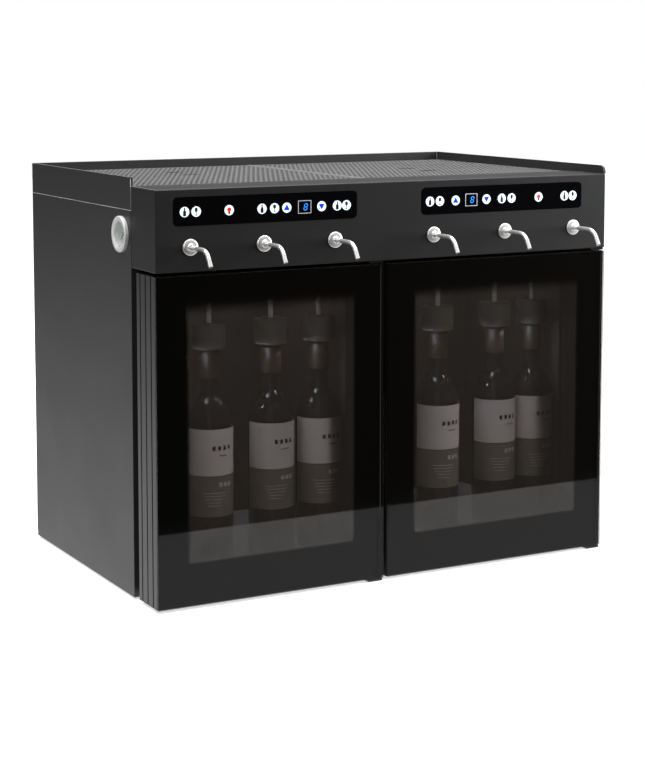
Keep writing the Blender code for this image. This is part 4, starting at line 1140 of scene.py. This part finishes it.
def dial_numbers():
    """Even numbers from 0 to 6, as flat letters that face left."""
    for i in range(NUMBERS):
        angle = -SCALE_START + SCALE_SWEEP * i / (NUMBERS - 1)
        y, z = dial_point(angle, 0.0102)
        curve = bpy.data.curves.new("number_%d" % i, "FONT")
        curve.body = str(i * 2)
        curve.size = 0.0040
        curve.align_x, curve.align_y = "CENTER", "CENTER"
        curve.extrude = 0.00008
        text = bpy.data.objects.new("gauge_number_%d" % i, curve)
        bpy.context.scene.collection.objects.link(text)
        text.location = (LEFT + DIAL_FACE - 0.0001, y, z)
        text.rotation_euler = (math.radians(90), 0.0, math.radians(-90))
        curve.materials.append(DIAL_INK)
        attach(text, "cabinet")


dial_face()
dial_numbers()
paint(MOULDED, "gauge_needle")
print("gauge at", [round(v, 3) for v in GAUGE_CENTRE])


# %% [markdown]
# ## Doors
# A door is a full sheet of tinted glass with a black border printed on its back, a deep plastic
# frame behind it and a bellows gasket.  The border is a thin layer with a slightly rounded window;
# the gasket's folds are drawn as a profile and led round the four sides.

# %% Printed borders
BORDER_SIDE, BORDER_TOP, BORDER_BOTTOM = 0.0445, 0.0335, 0.0600
BORDER_CORNER = 0.006
# The fading rim of the print is painted shade along the window's edges.
RIM_SHADE_WIDTH = (0.009, 0.026)      # how far the fading rim reaches in from the sides and the top
PRINT_DEPTH = 0.00012
PRINT_EDGE = 0.0006                # bare glass left outside the print


def window_outline(side, inward_x=0.0, inward_top=0.0):
    """The window in the printed border, or a smaller one inside it."""
    low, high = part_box(side + "_door_glass")
    return rounded((low.x + BORDER_SIDE + inward_x, low.z + BORDER_BOTTOM),
                   (high.x - BORDER_SIDE - inward_x, high.z - BORDER_TOP - inward_top), BORDER_CORNER)


def printed_border(side):
    """The printed ring: solid from the glass edge, then fading to the window as painted shade."""
    low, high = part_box(side + "_door_glass")
    outer = rounded((low.x + PRINT_EDGE, low.z + PRINT_EDGE),
                    (high.x - PRINT_EDGE, high.z - PRINT_EDGE), 0.001)
    solid, clear = window_outline(side), window_outline(side, *RIM_SHADE_WIDTH)
    bm = bmesh.new()
    fade = bm.verts.layers.float.new("fade")
    front = high.y + 0.00005
    back = front + PRINT_DEPTH
    loops = []
    for outline, y, value in ((outer, front, 1.0), (solid, front, 1.0), (clear, front, 0.0),
                              (clear, back, 0.0), (solid, back, 1.0), (outer, back, 1.0)):
        loop = lay_out(bm, outline, "y", y)
        for vert in loop:
            vert[fade] = value
        loops.append(loop)
    bridge(bm, loops)
    return piece(side + "_printed_border", bm, BORDER_PRINT_AND_SHADE, side + "_door", smooth=False)


borders = [printed_border(side) for side in SIDES]


# %% [markdown]
# Two films of painted glow hang behind the glass: one for the lamps' haze over the whole window, and
# one for the lit floor mat along its foot.  A strip of painted shade marks a groove down the hinge side.

# %% Films of painted glow behind the glass, strips of painted groove shade
MAT_GLOW_TOP = 0.1135
FILM_THICK, FILM_GAP = 0.0001, 0.0003
FILM_OVERLAP = 0.001       # the haze reaches in behind the print
MAT_GLOW_INSET = 0.003
STRIP_FROM_EDGE, STRIP_WIDTH = 0.0058, 0.0016


def films(side):
    """Painted glow over the whole window for the lamps' haze, and along its foot for the lit floor mat."""
    low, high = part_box(side + "_door_glass")
    start = high.y + 0.0005
    left, right = low.x + BORDER_SIDE - FILM_OVERLAP, high.x - BORDER_SIDE + FILM_OVERLAP
    foot, top = low.z + BORDER_BOTTOM - FILM_OVERLAP, high.z - BORDER_TOP + FILM_OVERLAP
    window = rectangle((left, foot), (right, top))
    mat_glow_outline = rectangle((left + MAT_GLOW_INSET, foot + MAT_GLOW_INSET), (right - MAT_GLOW_INSET, MAT_GLOW_TOP))
    for label, material, outline, y in (("_painted_haze", PAINTED_LAMP_HAZE, window, start),
                                        ("_painted_mat_glow", PAINTED_MAT_GLOW, mat_glow_outline, start + FILM_GAP)):
        bm = plate(bmesh.new(), outline, "y", y, y + FILM_THICK)
        piece(side + label, bm, material, side + "_door", smooth=False)


def groove_shade_strip(side):
    """A dark strip down the hinge edge of the glass, painted shade for a groove, with a small dark triangle
    at its foot, painted shade for a notch.
    """
    low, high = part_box(side + "_door_glass")
    x = high.x - STRIP_FROM_EDGE
    bm = bmesh.new()
    strip = rectangle((x - STRIP_WIDTH, low.z + 0.002), (x, high.z - 0.002))
    cover = [(x - 0.0065, low.z + 0.0085), (x - 0.0022, low.z + 0.0045), (x - 0.0018, low.z + 0.0115)]
    for outline in (strip, cover):
        plate(bm, outline, "y", low.y - 0.0001, low.y + 0.0002)
    return piece(side + "_painted_groove_shade", bm, GROOVE_SHADE_PAINT, side + "_door", smooth=False)


for side in SIDES:
    films(side)
    groove_shade_strip(side)


# %% Bellows gaskets
GASKET_WIDTH = 0.012
GASKET_FOLDS = 3
FOLD_DEPTH = 0.0022
GASKET_LIP = 0.0008


def frame_sweep(bm, low, high, section):
    """Lead a closed section of (inward, back) points round a rectangle in the x-z plane, mitred."""
    corners = [((low.x, low.z), (1, 1)), ((high.x, low.z), (-1, 1)), ((high.x, high.z), (-1, -1)),
               ((low.x, high.z), (1, -1))]
    loops = []
    for (x, z), (dx, dz) in corners:
        loops.append([bm.verts.new((x + dx * inward, low.y + back, z + dz * inward))
                      for inward, back in section])
    bridge(bm, loops)


def gasket(side):
    """A rubber bellows with the same folds outside and inside, and a rounded sealing face."""
    low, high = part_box(side + "_door_gasket")
    depth = high.y - low.y
    pitch = depth / GASKET_FOLDS
    outside = []
    for i in range(GASKET_FOLDS):
        start = depth * i / GASKET_FOLDS
        outside += [(0.0, start), (0.0, start + pitch * 0.55), (FOLD_DEPTH, start + pitch * 0.78)]
    outside += [(0.0, depth - GASKET_LIP), (GASKET_LIP, depth)]
    section = outside + [(GASKET_WIDTH - inward, back) for inward, back in reversed(outside)]
    bm = bmesh.new()
    frame_sweep(bm, low, high, section)
    made = piece(side + "_bellows_gasket", bm, RUBBER, side + "_door")
    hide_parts(side + "_door_gasket")
    return made


gaskets = [gasket(side) for side in SIDES]
print("doors finished:", len(borders), "with", len(gaskets), "gaskets")


# %% [markdown]
# ## Inside the compartments
# Six ordinary bottles stand under the heads.  Glass, capsule and label are three turned or wrapped
# shapes on the same axis.  The labels carry only bars and leaf dots, where a real one has words.

# %% Bottle shapes
BOTTLE_RADIUS = 0.0350
NECK_RADIUS, NECK_BORE = 0.0142, 0.0096
BOTTLE_FOOT = 0.0365
SHOULDER_LOW, SHOULDER_HIGH = 0.200, 0.248        # above the bottle's foot
SHOULDER_STEPS = 12
BOTTLE_STEPS = 64
WRAP_STEPS = 40
DIP_RADIUS, DIP_BORE = 0.0032, 0.0018


def bottle_profile(foot, top):
    """Height and radius from the push-up under the foot, over the outside and back down the inside."""
    body = [(foot + 0.006, 0.0), (foot + 0.004, 0.020), (foot, 0.028), (foot + 0.0008, 0.0325),
            (foot + 0.004, BOTTLE_RADIUS - 0.0005), (foot + 0.008, BOTTLE_RADIUS)]
    shoulder_start, neck_start = foot + SHOULDER_LOW, foot + SHOULDER_HIGH
    shoulder = []
    for i in range(SHOULDER_STEPS + 1):
        t = i / SHOULDER_STEPS
        ease = math.cos(t * math.pi / 2) ** 0.85
        radius = NECK_RADIUS + (BOTTLE_RADIUS - NECK_RADIUS) * ease
        shoulder.append((shoulder_start + (neck_start - shoulder_start) * t, radius))
    neck = [(top - 0.020, NECK_RADIUS - 0.0003), (top - 0.019, NECK_RADIUS + 0.0012),
            (top - 0.004, NECK_RADIUS + 0.0010), (top - 0.001, NECK_RADIUS), (top, NECK_RADIUS - 0.0012),
            (top, 0.0102), (top - 0.030, NECK_BORE), (top - 0.060, NECK_BORE), (neck_start, NECK_BORE)]
    inside = [(shoulder_start + 0.010, 0.028), (foot + 0.020, 0.0320), (foot + 0.012, 0.028),
              (foot + 0.012, 0.0)]
    return body + shoulder + neck + inside


def wrap(bm, centre, radius, low, high, start, end, thick=0.0002):
    """A thin sheet wrapped round an upright axis between two angles, 270 facing the door."""
    loops = []
    for r, z in ((radius, low), (radius, high), (radius + thick, high), (radius + thick, low)):
        loop = []
        for i in range(WRAP_STEPS + 1):
            a = math.radians(start + (end - start) * i / WRAP_STEPS)
            loop.append(bm.verts.new((centre[0] + r * math.cos(a), centre[1] + r * math.sin(a), z)))
        loops.append(loop)
    for ring, following in zip(loops, loops[1:] + loops[:1]):
        for i in range(WRAP_STEPS):
            bm.faces.new((ring[i], ring[i + 1], following[i + 1], following[i]))
    for i in (0, WRAP_STEPS):
        bm.faces.new([loop[i] for loop in loops])


# %% Labels and bottles
LABEL_FACING = 258.0
LABEL_SPAN = 168.0
LABEL_LOW, LABEL_SPLIT, LABEL_HIGH = 0.107, 0.168, 0.2385
LABEL_PAPERS = {"pale": PAPER, "olive": OLIVE_PAPER, "ink": LABEL_INK, "leaf": LABEL_GREEN,
                "print": LABEL_PALE}
LEAF_DOTS = 26
SEED_TURN = 2.39996        # radians from one dot to the next, as seeds are packed in a flower head


def label(number, centre):
    """A pale upper and a dark lower paper, with bars for words and two clusters of leaf dots."""
    start, end = LABEL_FACING - LABEL_SPAN / 2, LABEL_FACING + LABEL_SPAN / 2
    paper = BOTTLE_RADIUS + 0.0001
    sheets = {key: bmesh.new() for key in LABEL_PAPERS}
    wrap(sheets["pale"], centre, paper, LABEL_SPLIT + 0.0006, LABEL_HIGH, start, end)
    wrap(sheets["olive"], centre, paper, LABEL_LOW, LABEL_SPLIT - 0.0006, start, end)

    def mark(key, foot, height, first, span):
        """One printed mark, a hair proud of the paper; first is counted from the label's middle."""
        first += LABEL_FACING
        wrap(sheets[key], centre, paper + 0.0002, foot, foot + height, first, first + span, 0.0001)

    mark("ink", LABEL_SPLIT - 0.0006, 0.0012, -LABEL_SPAN / 2, LABEL_SPAN)
    for i in range(4):
        mark("ink", LABEL_HIGH - 0.0315, 0.0065, -6 + i * 14, 8)
    mark("ink", LABEL_HIGH - 0.0405, 0.0013, 10, 26)
    for i in range(3):
        mark("print", LABEL_SPLIT - 0.0160, 0.0065, 10 + i * 13, 9)
    for i in range(5):
        mark("print", LABEL_SPLIT - 0.0255 - i * 0.0048, 0.0009, -30 + i * 3, 60 - i * 7)
    for corner in (-58, 44):
        for i in range(LEAF_DOTS):
            ring, turn = 0.7 + 2.6 * math.sqrt(i), i * SEED_TURN
            mark("leaf", LABEL_LOW + 0.0175 + ring * 0.00125 * math.sin(turn), 0.0016,
                 corner + ring * 1.35 * math.cos(turn), 2.2)
    return [piece("bottle_%d_label_%s" % (number, key), bm, LABEL_PAPERS[key], "cabinet")
            for key, bm in sheets.items()]


def bottle(number):
    """Glass, capsule, dip tube and label on one axis."""
    centre = head_axis(number)
    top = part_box("pouring_head_%d" % number)[1].z - DRUM_HEIGHT - 0.0004
    bm = lathe(bmesh.new(), bottle_profile(BOTTLE_FOOT, top), centre, "z", BOTTLE_STEPS)
    glass = piece("bottle_%d" % number, bm, BOTTLE_GLASS, "cabinet")
    sleeve = [(top - 0.004, NECK_RADIUS + 0.0011), (top - 0.005, NECK_RADIUS + 0.0016),
              (top - 0.043, NECK_RADIUS + 0.0016), (top - 0.0432, NECK_RADIUS + 0.0002)]
    bm = lathe(bmesh.new(), sleeve, centre, "z", BOTTLE_STEPS)
    piece("bottle_%d_capsule" % number, bm, CAPSULE, "cabinet")
    foot = BOTTLE_FOOT + 0.014
    dip = [(foot, DIP_BORE), (foot, DIP_RADIUS), (top - 0.036, DIP_RADIUS), (top - 0.036, DIP_BORE)]
    piece("bottle_%d_dip_tube" % number, lathe(bmesh.new(), dip, centre, "z", 16), STEEL, "cabinet")
    label(number, centre)
    return glass


bottles = [bottle(n) for n in STATIONS]
print("bottles:", len(bottles))


# %% [markdown]
# The compartment's back wall is a pierced air panel, and a ribbed mat lies on its floor.  The lead of
# a temperature probe hangs down the back.

# %% Air panels and floor mats
PANEL_COLUMNS, PANEL_MARGIN, PANEL_THICK = 26, 0.020, 0.0012
PLAIN_COLUMNS = 5          # at each side of the pierced part
MAT_RIBS = 40


def air_panel(side):
    """A square grid of cells, pierced in the middle; it is drawn flat and then stood up."""
    low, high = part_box(side + "_liner")
    y = high.y - 0.0045
    x0, z0 = low.x + PANEL_MARGIN, low.z + PANEL_MARGIN
    pitch = (high.x - PANEL_MARGIN - x0) / PANEL_COLUMNS
    rows = int((high.z - PANEL_MARGIN - z0) / pitch)
    bm = bmesh.new()
    for r in range(rows):
        for c in range(PANEL_COLUMNS):
            a, b = x0 + c * pitch, z0 + r * pitch
            if PLAIN_COLUMNS <= c < PANEL_COLUMNS - PLAIN_COLUMNS and rows * 0.35 < r < rows * 0.85:
                hole_cell(bm, (a, b), (a + pitch, b + pitch), pitch * 0.24)
            else:
                flat_cell(bm, (a, b), (a + pitch, b + pitch))
    bmesh.ops.remove_doubles(bm, verts=bm.verts, dist=WELD_DISTANCE)
    upright = Matrix.Rotation(math.radians(90), 3, "X")
    bmesh.ops.rotate(bm, cent=(0, 0, 0), matrix=upright, verts=bm.verts)
    bmesh.ops.translate(bm, vec=(0, y, 0), verts=bm.verts)
    thicken(bm, list(bm.faces), (0, PANEL_THICK, 0))
    return piece(side + "_air_panel", bm, LINER, "cabinet", smooth=False)


def floor_mat(side):
    """A rubber mat whose ribs run from the doorway to the back wall."""
    low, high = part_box(side + "_liner")
    x0, x1 = low.x + 0.006, high.x - 0.006
    pitch = (x1 - x0) / MAT_RIBS
    base = low.z + 0.0021
    crest, valley = base + 0.0012, base + 0.0004
    outline = [(x0, base)]
    for i in range(MAT_RIBS):
        x = x0 + i * pitch
        outline += [(x + pitch * 0.1, crest), (x + pitch * 0.6, crest), (x + pitch * 0.7, valley)]
    outline.append((x1, base))
    bm = plate(bmesh.new(), outline, "y", low.y + 0.004, high.y - 0.008)
    return piece(side + "_floor_mat", bm, FLOOR_MAT, "cabinet", smooth=False)


def probe_lead(side):
    """The lead of the temperature probe, hanging down the back wall between two bottles."""
    low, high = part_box(side + "_liner")
    x, y = low.x + (high.x - low.x) * 0.57, high.y - 0.012
    path = [(x, y, high.z - 0.004), (x, y, 0.40), (x, y - 0.001, 0.36), (x, y + 0.001, 0.32), (x, y, 0.30)]
    bm = bmesh.new()
    rings = tube(bm, path, 0.0013, 10)
    for ring in (rings[0], rings[-1]):
        bm.faces.new(ring)
    probe = [(0.0, 0.0), (0.0, 0.0028), (-0.016, 0.0028), (-0.018, 0.0018), (-0.018, 0.0)]
    lathe(bm, probe, path[-1], "z", 16)
    return piece(side + "_probe_lead", bm, STEEL, "cabinet")


inner = [probe_lead(side) for side in SIDES]
inner += [make(side) for side in SIDES for make in (air_panel, floor_mat)]
print("inside pieces:", len(inner))


# %% [markdown]
# ## Behind the machine
# The rear cover is held by screws round its edge, and the two fans behind its vents have twisted blades.
# The frame's fan is a flat cut-out, so each fan is made again: the blades are small
# sheets that turn as they leave the hub.

# %% Screws
SCREW_RADIUS = 0.0038
SCREW_INSET = 0.008        # from the cover's edge


def screw(bm, x, y, z):
    """A pan head with a cross in it, facing backwards."""
    r = SCREW_RADIUS
    profile = [(0.0, 0.0), (0.0, r), (0.0009, r * 0.97), (0.0017, r * 0.80), (0.0021, r * 0.52),
               (0.0021, r * 0.30), (0.0012, r * 0.24), (0.0012, 0.0)]
    lathe(bm, profile, (x, y, z), "y", 20)
    half_long, half_wide = r * 0.55, r * 0.10
    for turn in (20, 110):
        a = math.radians(turn)
        corners = [(x + s * half_long * math.cos(a) - t * half_wide * math.sin(a),
                    z + s * half_long * math.sin(a) + t * half_wide * math.cos(a))
                   for s, t in ((-1, -1), (1, -1), (1, 1), (-1, 1))]
        plate(bm, corners, "y", y + 0.0016, y + 0.00215)


def rear_screws():
    """Five screws up each side of the cover and three more along its top and its foot."""
    low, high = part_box("rear_cover")
    left, right = low.x + SCREW_INSET, high.x - SCREW_INSET
    foot, top = low.z + SCREW_INSET, high.z - SCREW_INSET
    places = [(x, foot + (top - foot) * i / 4) for i in range(5) for x in (left, right)]
    places += [(low.x + (high.x - low.x) * i / 4, z) for i in range(1, 4) for z in (foot, top)]
    bm = bmesh.new()
    for x, z in places:
        screw(bm, x, high.y + 0.0001, z)
    return piece("rear_cover_screws", bm, SCREW, "cabinet")


rear_screws()


# %% Fans
FAN_BLADES = 7
HUB_RADIUS, HUB_BORE = 0.016, 0.0028
BLADE_ROWS, BLADE_COLUMNS = 5, 4        # cells out from the hub, and cells across the blade
BLADE_HALF_THICK = 0.0006


def blade_points(centre, radius, depth, base):
    """Rows of points from the hub outwards; each row is turned on and a little flatter than the last."""
    root = HUB_RADIUS * 0.96
    rows = []
    for i in range(BLADE_ROWS + 1):
        r = root + (radius - root) * i / BLADE_ROWS
        row = []
        for j in range(BLADE_COLUMNS + 1):
            t = j / BLADE_COLUMNS
            a = base + 0.05 * i + (0.62 - 0.05 * i) * t
            y = (0.5 - t) * depth * (0.86 - 0.05 * i)
            row.append((centre.x + r * math.sin(a), centre.y + y, centre.z + r * math.cos(a)))
        rows.append(row)
    return rows


def sheet_edge(grid):
    """The corners round the edge of a grid, in order."""
    return ([row[0] for row in grid] + grid[-1][1:] + [row[-1] for row in grid[-2::-1]]
            + grid[0][-2:0:-1])


def blade(bm, rows):
    """A thin sheet with a front and a back through the same points."""
    front, back = [[[bm.verts.new((x, y + shift, z)) for x, y, z in row] for row in rows]
                   for shift in (-BLADE_HALF_THICK, BLADE_HALF_THICK)]
    for i in range(BLADE_ROWS):
        for j in range(BLADE_COLUMNS):
            bm.faces.new((front[i][j], front[i][j + 1], front[i + 1][j + 1], front[i + 1][j]))
            bm.faces.new((back[i][j], back[i + 1][j], back[i + 1][j + 1], back[i][j + 1]))
    bridge(bm, [sheet_edge(front), sheet_edge(back)], closed=False)


def fan(side):
    """A cupped hub and seven twisted blades."""
    low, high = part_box(side + "_fan")
    centre = (low + high) / 2
    radius, depth = (high.z - low.z) / 2 - 0.0005, high.y - low.y
    front, back, hub = -depth / 2, depth / 2, HUB_RADIUS
    profile = [(front, HUB_BORE), (front, hub - 0.0015), (front + 0.0015, hub), (back, hub),
               (back, hub - 0.0015), (back - 0.002, hub - 0.0018), (back - 0.002, HUB_BORE)]
    bm = lathe(bmesh.new(), profile, centre, "y", 40)
    for i in range(FAN_BLADES):
        blade(bm, blade_points(centre, radius, depth, 2 * math.pi * i / FAN_BLADES))
    made = piece(side + "_bladed_fan", bm, MOULDED, side + "_fan_body")
    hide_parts(side + "_fan")
    return made


fans = [fan(side) for side in SIDES]
print("fans:", len(fans))


# %% [markdown]
# ## Studio
# The machine stands on a white floor.  Satin paint and door glass both show what lies on the floor
# in front of them, so reflections see two sheets there: one beside and behind the cabinet, and a
# dimmer one that ends a little way in front of the doors.  A card hangs to the left of the camera
# for the same reason.  The glow of each plane changes a little from its middle outwards.

# %% Floor and reflected sheets
def stage_plane(name, low, high, z, material):
    """A flat rectangle that belongs to the studio and not to the machine."""
    bm = bmesh.new()
    bm.faces.new(lay_out(bm, rectangle(low, high), "z", z))
    mesh = bpy.data.meshes.new(name)
    bm.to_mesh(mesh)
    bm.free()
    mesh.materials.append(material)
    obj = bpy.data.objects.new(name, mesh)
    bpy.context.scene.collection.objects.link(obj)
    return obj


def only_in_reflections(obj):
    """Hide an object from everything but mirror-like reflections."""
    obj.visible_camera = False
    obj.visible_diffuse = False
    obj.visible_shadow = False
    obj.visible_transmission = False
    obj.visible_volume_scatter = False


def by_distance(tree, start, reach, near, far):
    """A number that goes from near to far between two distances from a plane's own middle."""
    place = tree.nodes.new("ShaderNodeTexCoord")
    length = tree.nodes.new("ShaderNodeVectorMath")
    length.operation = "LENGTH"
    tree.links.new(place.outputs["Object"], length.inputs[0])
    ramp = tree.nodes.new("ShaderNodeMapRange")
    for label, value in (("From Min", start), ("From Max", reach), ("To Min", near), ("To Max", far)):
        ramp.inputs[label].default_value = value
    tree.links.new(length.outputs["Value"], ramp.inputs["Value"])
    return ramp.outputs["Result"]


def glow_material(name, near, far, reach):
    """A bare glow for a plane that only reflections see."""
    material = bpy.data.materials.new(name)
    material.use_nodes = True
    tree = material.node_tree
    tree.nodes.clear()
    emission = tree.nodes.new("ShaderNodeEmission")
    tree.links.new(by_distance(tree, GLOW_START, reach, near, far), emission.inputs["Strength"])
    output = tree.nodes.new("ShaderNodeOutputMaterial")
    tree.links.new(emission.outputs[0], output.inputs["Surface"])
    return material


def floor_paint():
    """White paint that glows just enough to stay white away from the machine's own shadow."""
    material, shader = bare_material("white studio floor", (0.9, 0.9, 0.9), 0.85, emission_strength=1.0)
    tree = material.node_tree
    glow = by_distance(tree, 0.45, 1.3, FLOOR_GLOW, 1.0)
    tree.links.new(glow, shader.inputs["Emission Color"])
    return material


FLOOR_GLOW = 0.55
GLOW_START = 0.4
SHEET_FRONT = 0.405        # how far the front sheet reaches before the doors
SHEET_GLOW = glow_material("sheet glow", 1.3, 0.62, 2.4)
FRONT_GLOW = glow_material("front sheet glow", 0.86, 0.80, 1.0)
CARD_GLOW = glow_material("card glow", 1.1, 1.1, 4.0)
floor = stage_plane("studio_floor", (-9, -9), (9, 9), -0.0004, floor_paint())
floor.visible_glossy = False
floor.visible_diffuse = False
side_sheet = stage_plane("reflected_sheet", (-4, FRONT), (4, 4), -0.0003, SHEET_GLOW)
front_sheet = stage_plane("reflected_front", (-4, FRONT - SHEET_FRONT), (4, FRONT), -0.0003, FRONT_GLOW)
card = stage_plane("reflected_card", (-1.3, -1.3), (1.3, 1.3), 0.0, CARD_GLOW)
card.location = (-2.5, -3.3, 1.5)
card.rotation_euler = (Vector((0.0, 0.0, 0.5)) - card.location).to_track_quat("Z", "Y").to_euler()
for sheet in (side_sheet, front_sheet, card):
    only_in_reflections(sheet)


# %% [markdown]
# The world is plain white to the camera.  Matt surfaces are lit by a soft dome, and polished ones
# reflect a second dome that is dark near the horizon and bright above, which keeps the glass black.

# %% World
def dome_background(tree, stops):
    """A background that changes with height: (height from 0 at the nadir to 1 at the zenith, brightness)."""
    place = tree.nodes.new("ShaderNodeTexCoord")
    split = tree.nodes.new("ShaderNodeSeparateXYZ")
    height = tree.nodes.new("ShaderNodeMapRange")
    height.inputs["From Min"].default_value = -1.0
    ramp = tree.nodes.new("ShaderNodeValToRGB")
    elements = ramp.color_ramp.elements
    elements[0].position, elements[1].position = stops[0][0], stops[-1][0]
    for position, _ in stops[1:-1]:
        elements.new(position)
    for element, (_, value) in zip(elements, stops):
        element.color = (value, value, value, 1.0)
    dome = tree.nodes.new("ShaderNodeBackground")
    tree.links.new(place.outputs["Generated"], split.inputs["Vector"])
    tree.links.new(split.outputs["Z"], height.inputs["Value"])
    tree.links.new(height.outputs["Result"], ramp.inputs["Fac"])
    tree.links.new(ramp.outputs["Color"], dome.inputs["Color"])
    return dome.outputs[0]


def studio_world():
    """White for the camera's rays, one dome for mirror-like rays and one for all the others."""
    world = bpy.data.worlds.new("studio")
    bpy.context.scene.world = world
    world.use_nodes = True
    tree = world.node_tree
    tree.nodes.clear()
    soft = dome_background(tree, SOFT_DOME)
    bright = dome_background(tree, MIRROR_DOME)
    white = tree.nodes.new("ShaderNodeBackground")
    white.inputs["Color"].default_value = (1.0, 1.0, 1.0, 1.0)
    rays = tree.nodes.new("ShaderNodeLightPath")
    by_ray = tree.nodes.new("ShaderNodeMixShader")
    by_eye = tree.nodes.new("ShaderNodeMixShader")
    output = tree.nodes.new("ShaderNodeOutputWorld")
    tree.links.new(rays.outputs["Is Glossy Ray"], by_ray.inputs["Fac"])
    tree.links.new(soft, by_ray.inputs[1])
    tree.links.new(bright, by_ray.inputs[2])
    tree.links.new(rays.outputs["Is Camera Ray"], by_eye.inputs["Fac"])
    tree.links.new(by_ray.outputs[0], by_eye.inputs[1])
    tree.links.new(white.outputs[0], by_eye.inputs[2])
    tree.links.new(by_eye.outputs[0], output.inputs["Surface"])


SOFT_DOME = ((0.0, 0.30), (0.49, 0.20), (0.55, 0.08), (1.0, 0.30))
MIRROR_DOME = ((0.0, 0.02), (0.55, 0.02), (0.70, 0.25), (1.0, 0.8))
studio_world()


# %% Lights
def area_light(name, place, target, size, power, glossy=True):
    """A soft panel that faces a target, unseen by the camera, and by reflections too if not glossy."""
    data = bpy.data.lights.new(name, "AREA")
    data.shape = "RECTANGLE"
    data.size, data.size_y = size
    data.energy = power
    lamp = bpy.data.objects.new(name, data)
    lamp.location = place
    direction = Vector(target) - Vector(place)
    lamp.rotation_euler = direction.to_track_quat("-Z", "Y").to_euler()
    lamp.visible_camera = False
    lamp.visible_glossy = glossy
    bpy.context.scene.collection.objects.link(lamp)
    return lamp


area_light("overhead", (0.0, 0.2, 2.6), (0.0, 0.0, 0.0), (4.0, 3.0), 150.0)
area_light("front_right", (2.9, -1.7, 1.3), (0.3, 0.0, 0.4), (1.0, 1.8), 45.0)
area_light("near_right", (1.15, -0.95, 0.85), (0.38, -0.25, 0.54), (0.5, 1.0), 26.0, glossy=False)
area_light("left_fill", (-3.0, -0.6, 1.6), (-0.4, 0.0, 0.3), (2.0, 1.6), 12.0)

# %% [markdown]
# Each compartment gets an even wash from the doorway and another from its ceiling, which leave no
# streaks on the bottles, and a small cool lamp beside every bottle's shoulder.  The small lamps are
# what shows as one bright spot per shoulder.

# %% Compartment lamps
COOL_WHITE = (0.72, 0.86, 1.0)
for side in SIDES:
    low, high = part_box(side + "_liner")
    x, y = (low.x + high.x) / 2, (low.y + high.y) / 2
    area_light(side + "_doorway_wash", (x, low.y - 0.012, 0.26), (x, high.y, 0.25), (0.27, 0.36), 0.15,
               glossy=False)
    area_light(side + "_ceiling_lamp", (x, y, high.z - 0.006), (x, y, 0.0), (0.26, 0.18), 0.30, glossy=False)
for number in STATIONS:
    x, y, _ = head_axis(number)
    lamp = area_light("shoulder_lamp_%d" % number, (x - 0.050, y - 0.030, 0.352),
                      (x - 0.020, y - 0.014, 0.262), (0.034, 0.024), 0.06)
    lamp.data.color = COOL_WHITE
bpy.context.scene.view_settings.view_transform = "Standard"
bpy.context.scene.view_settings.look = "None"
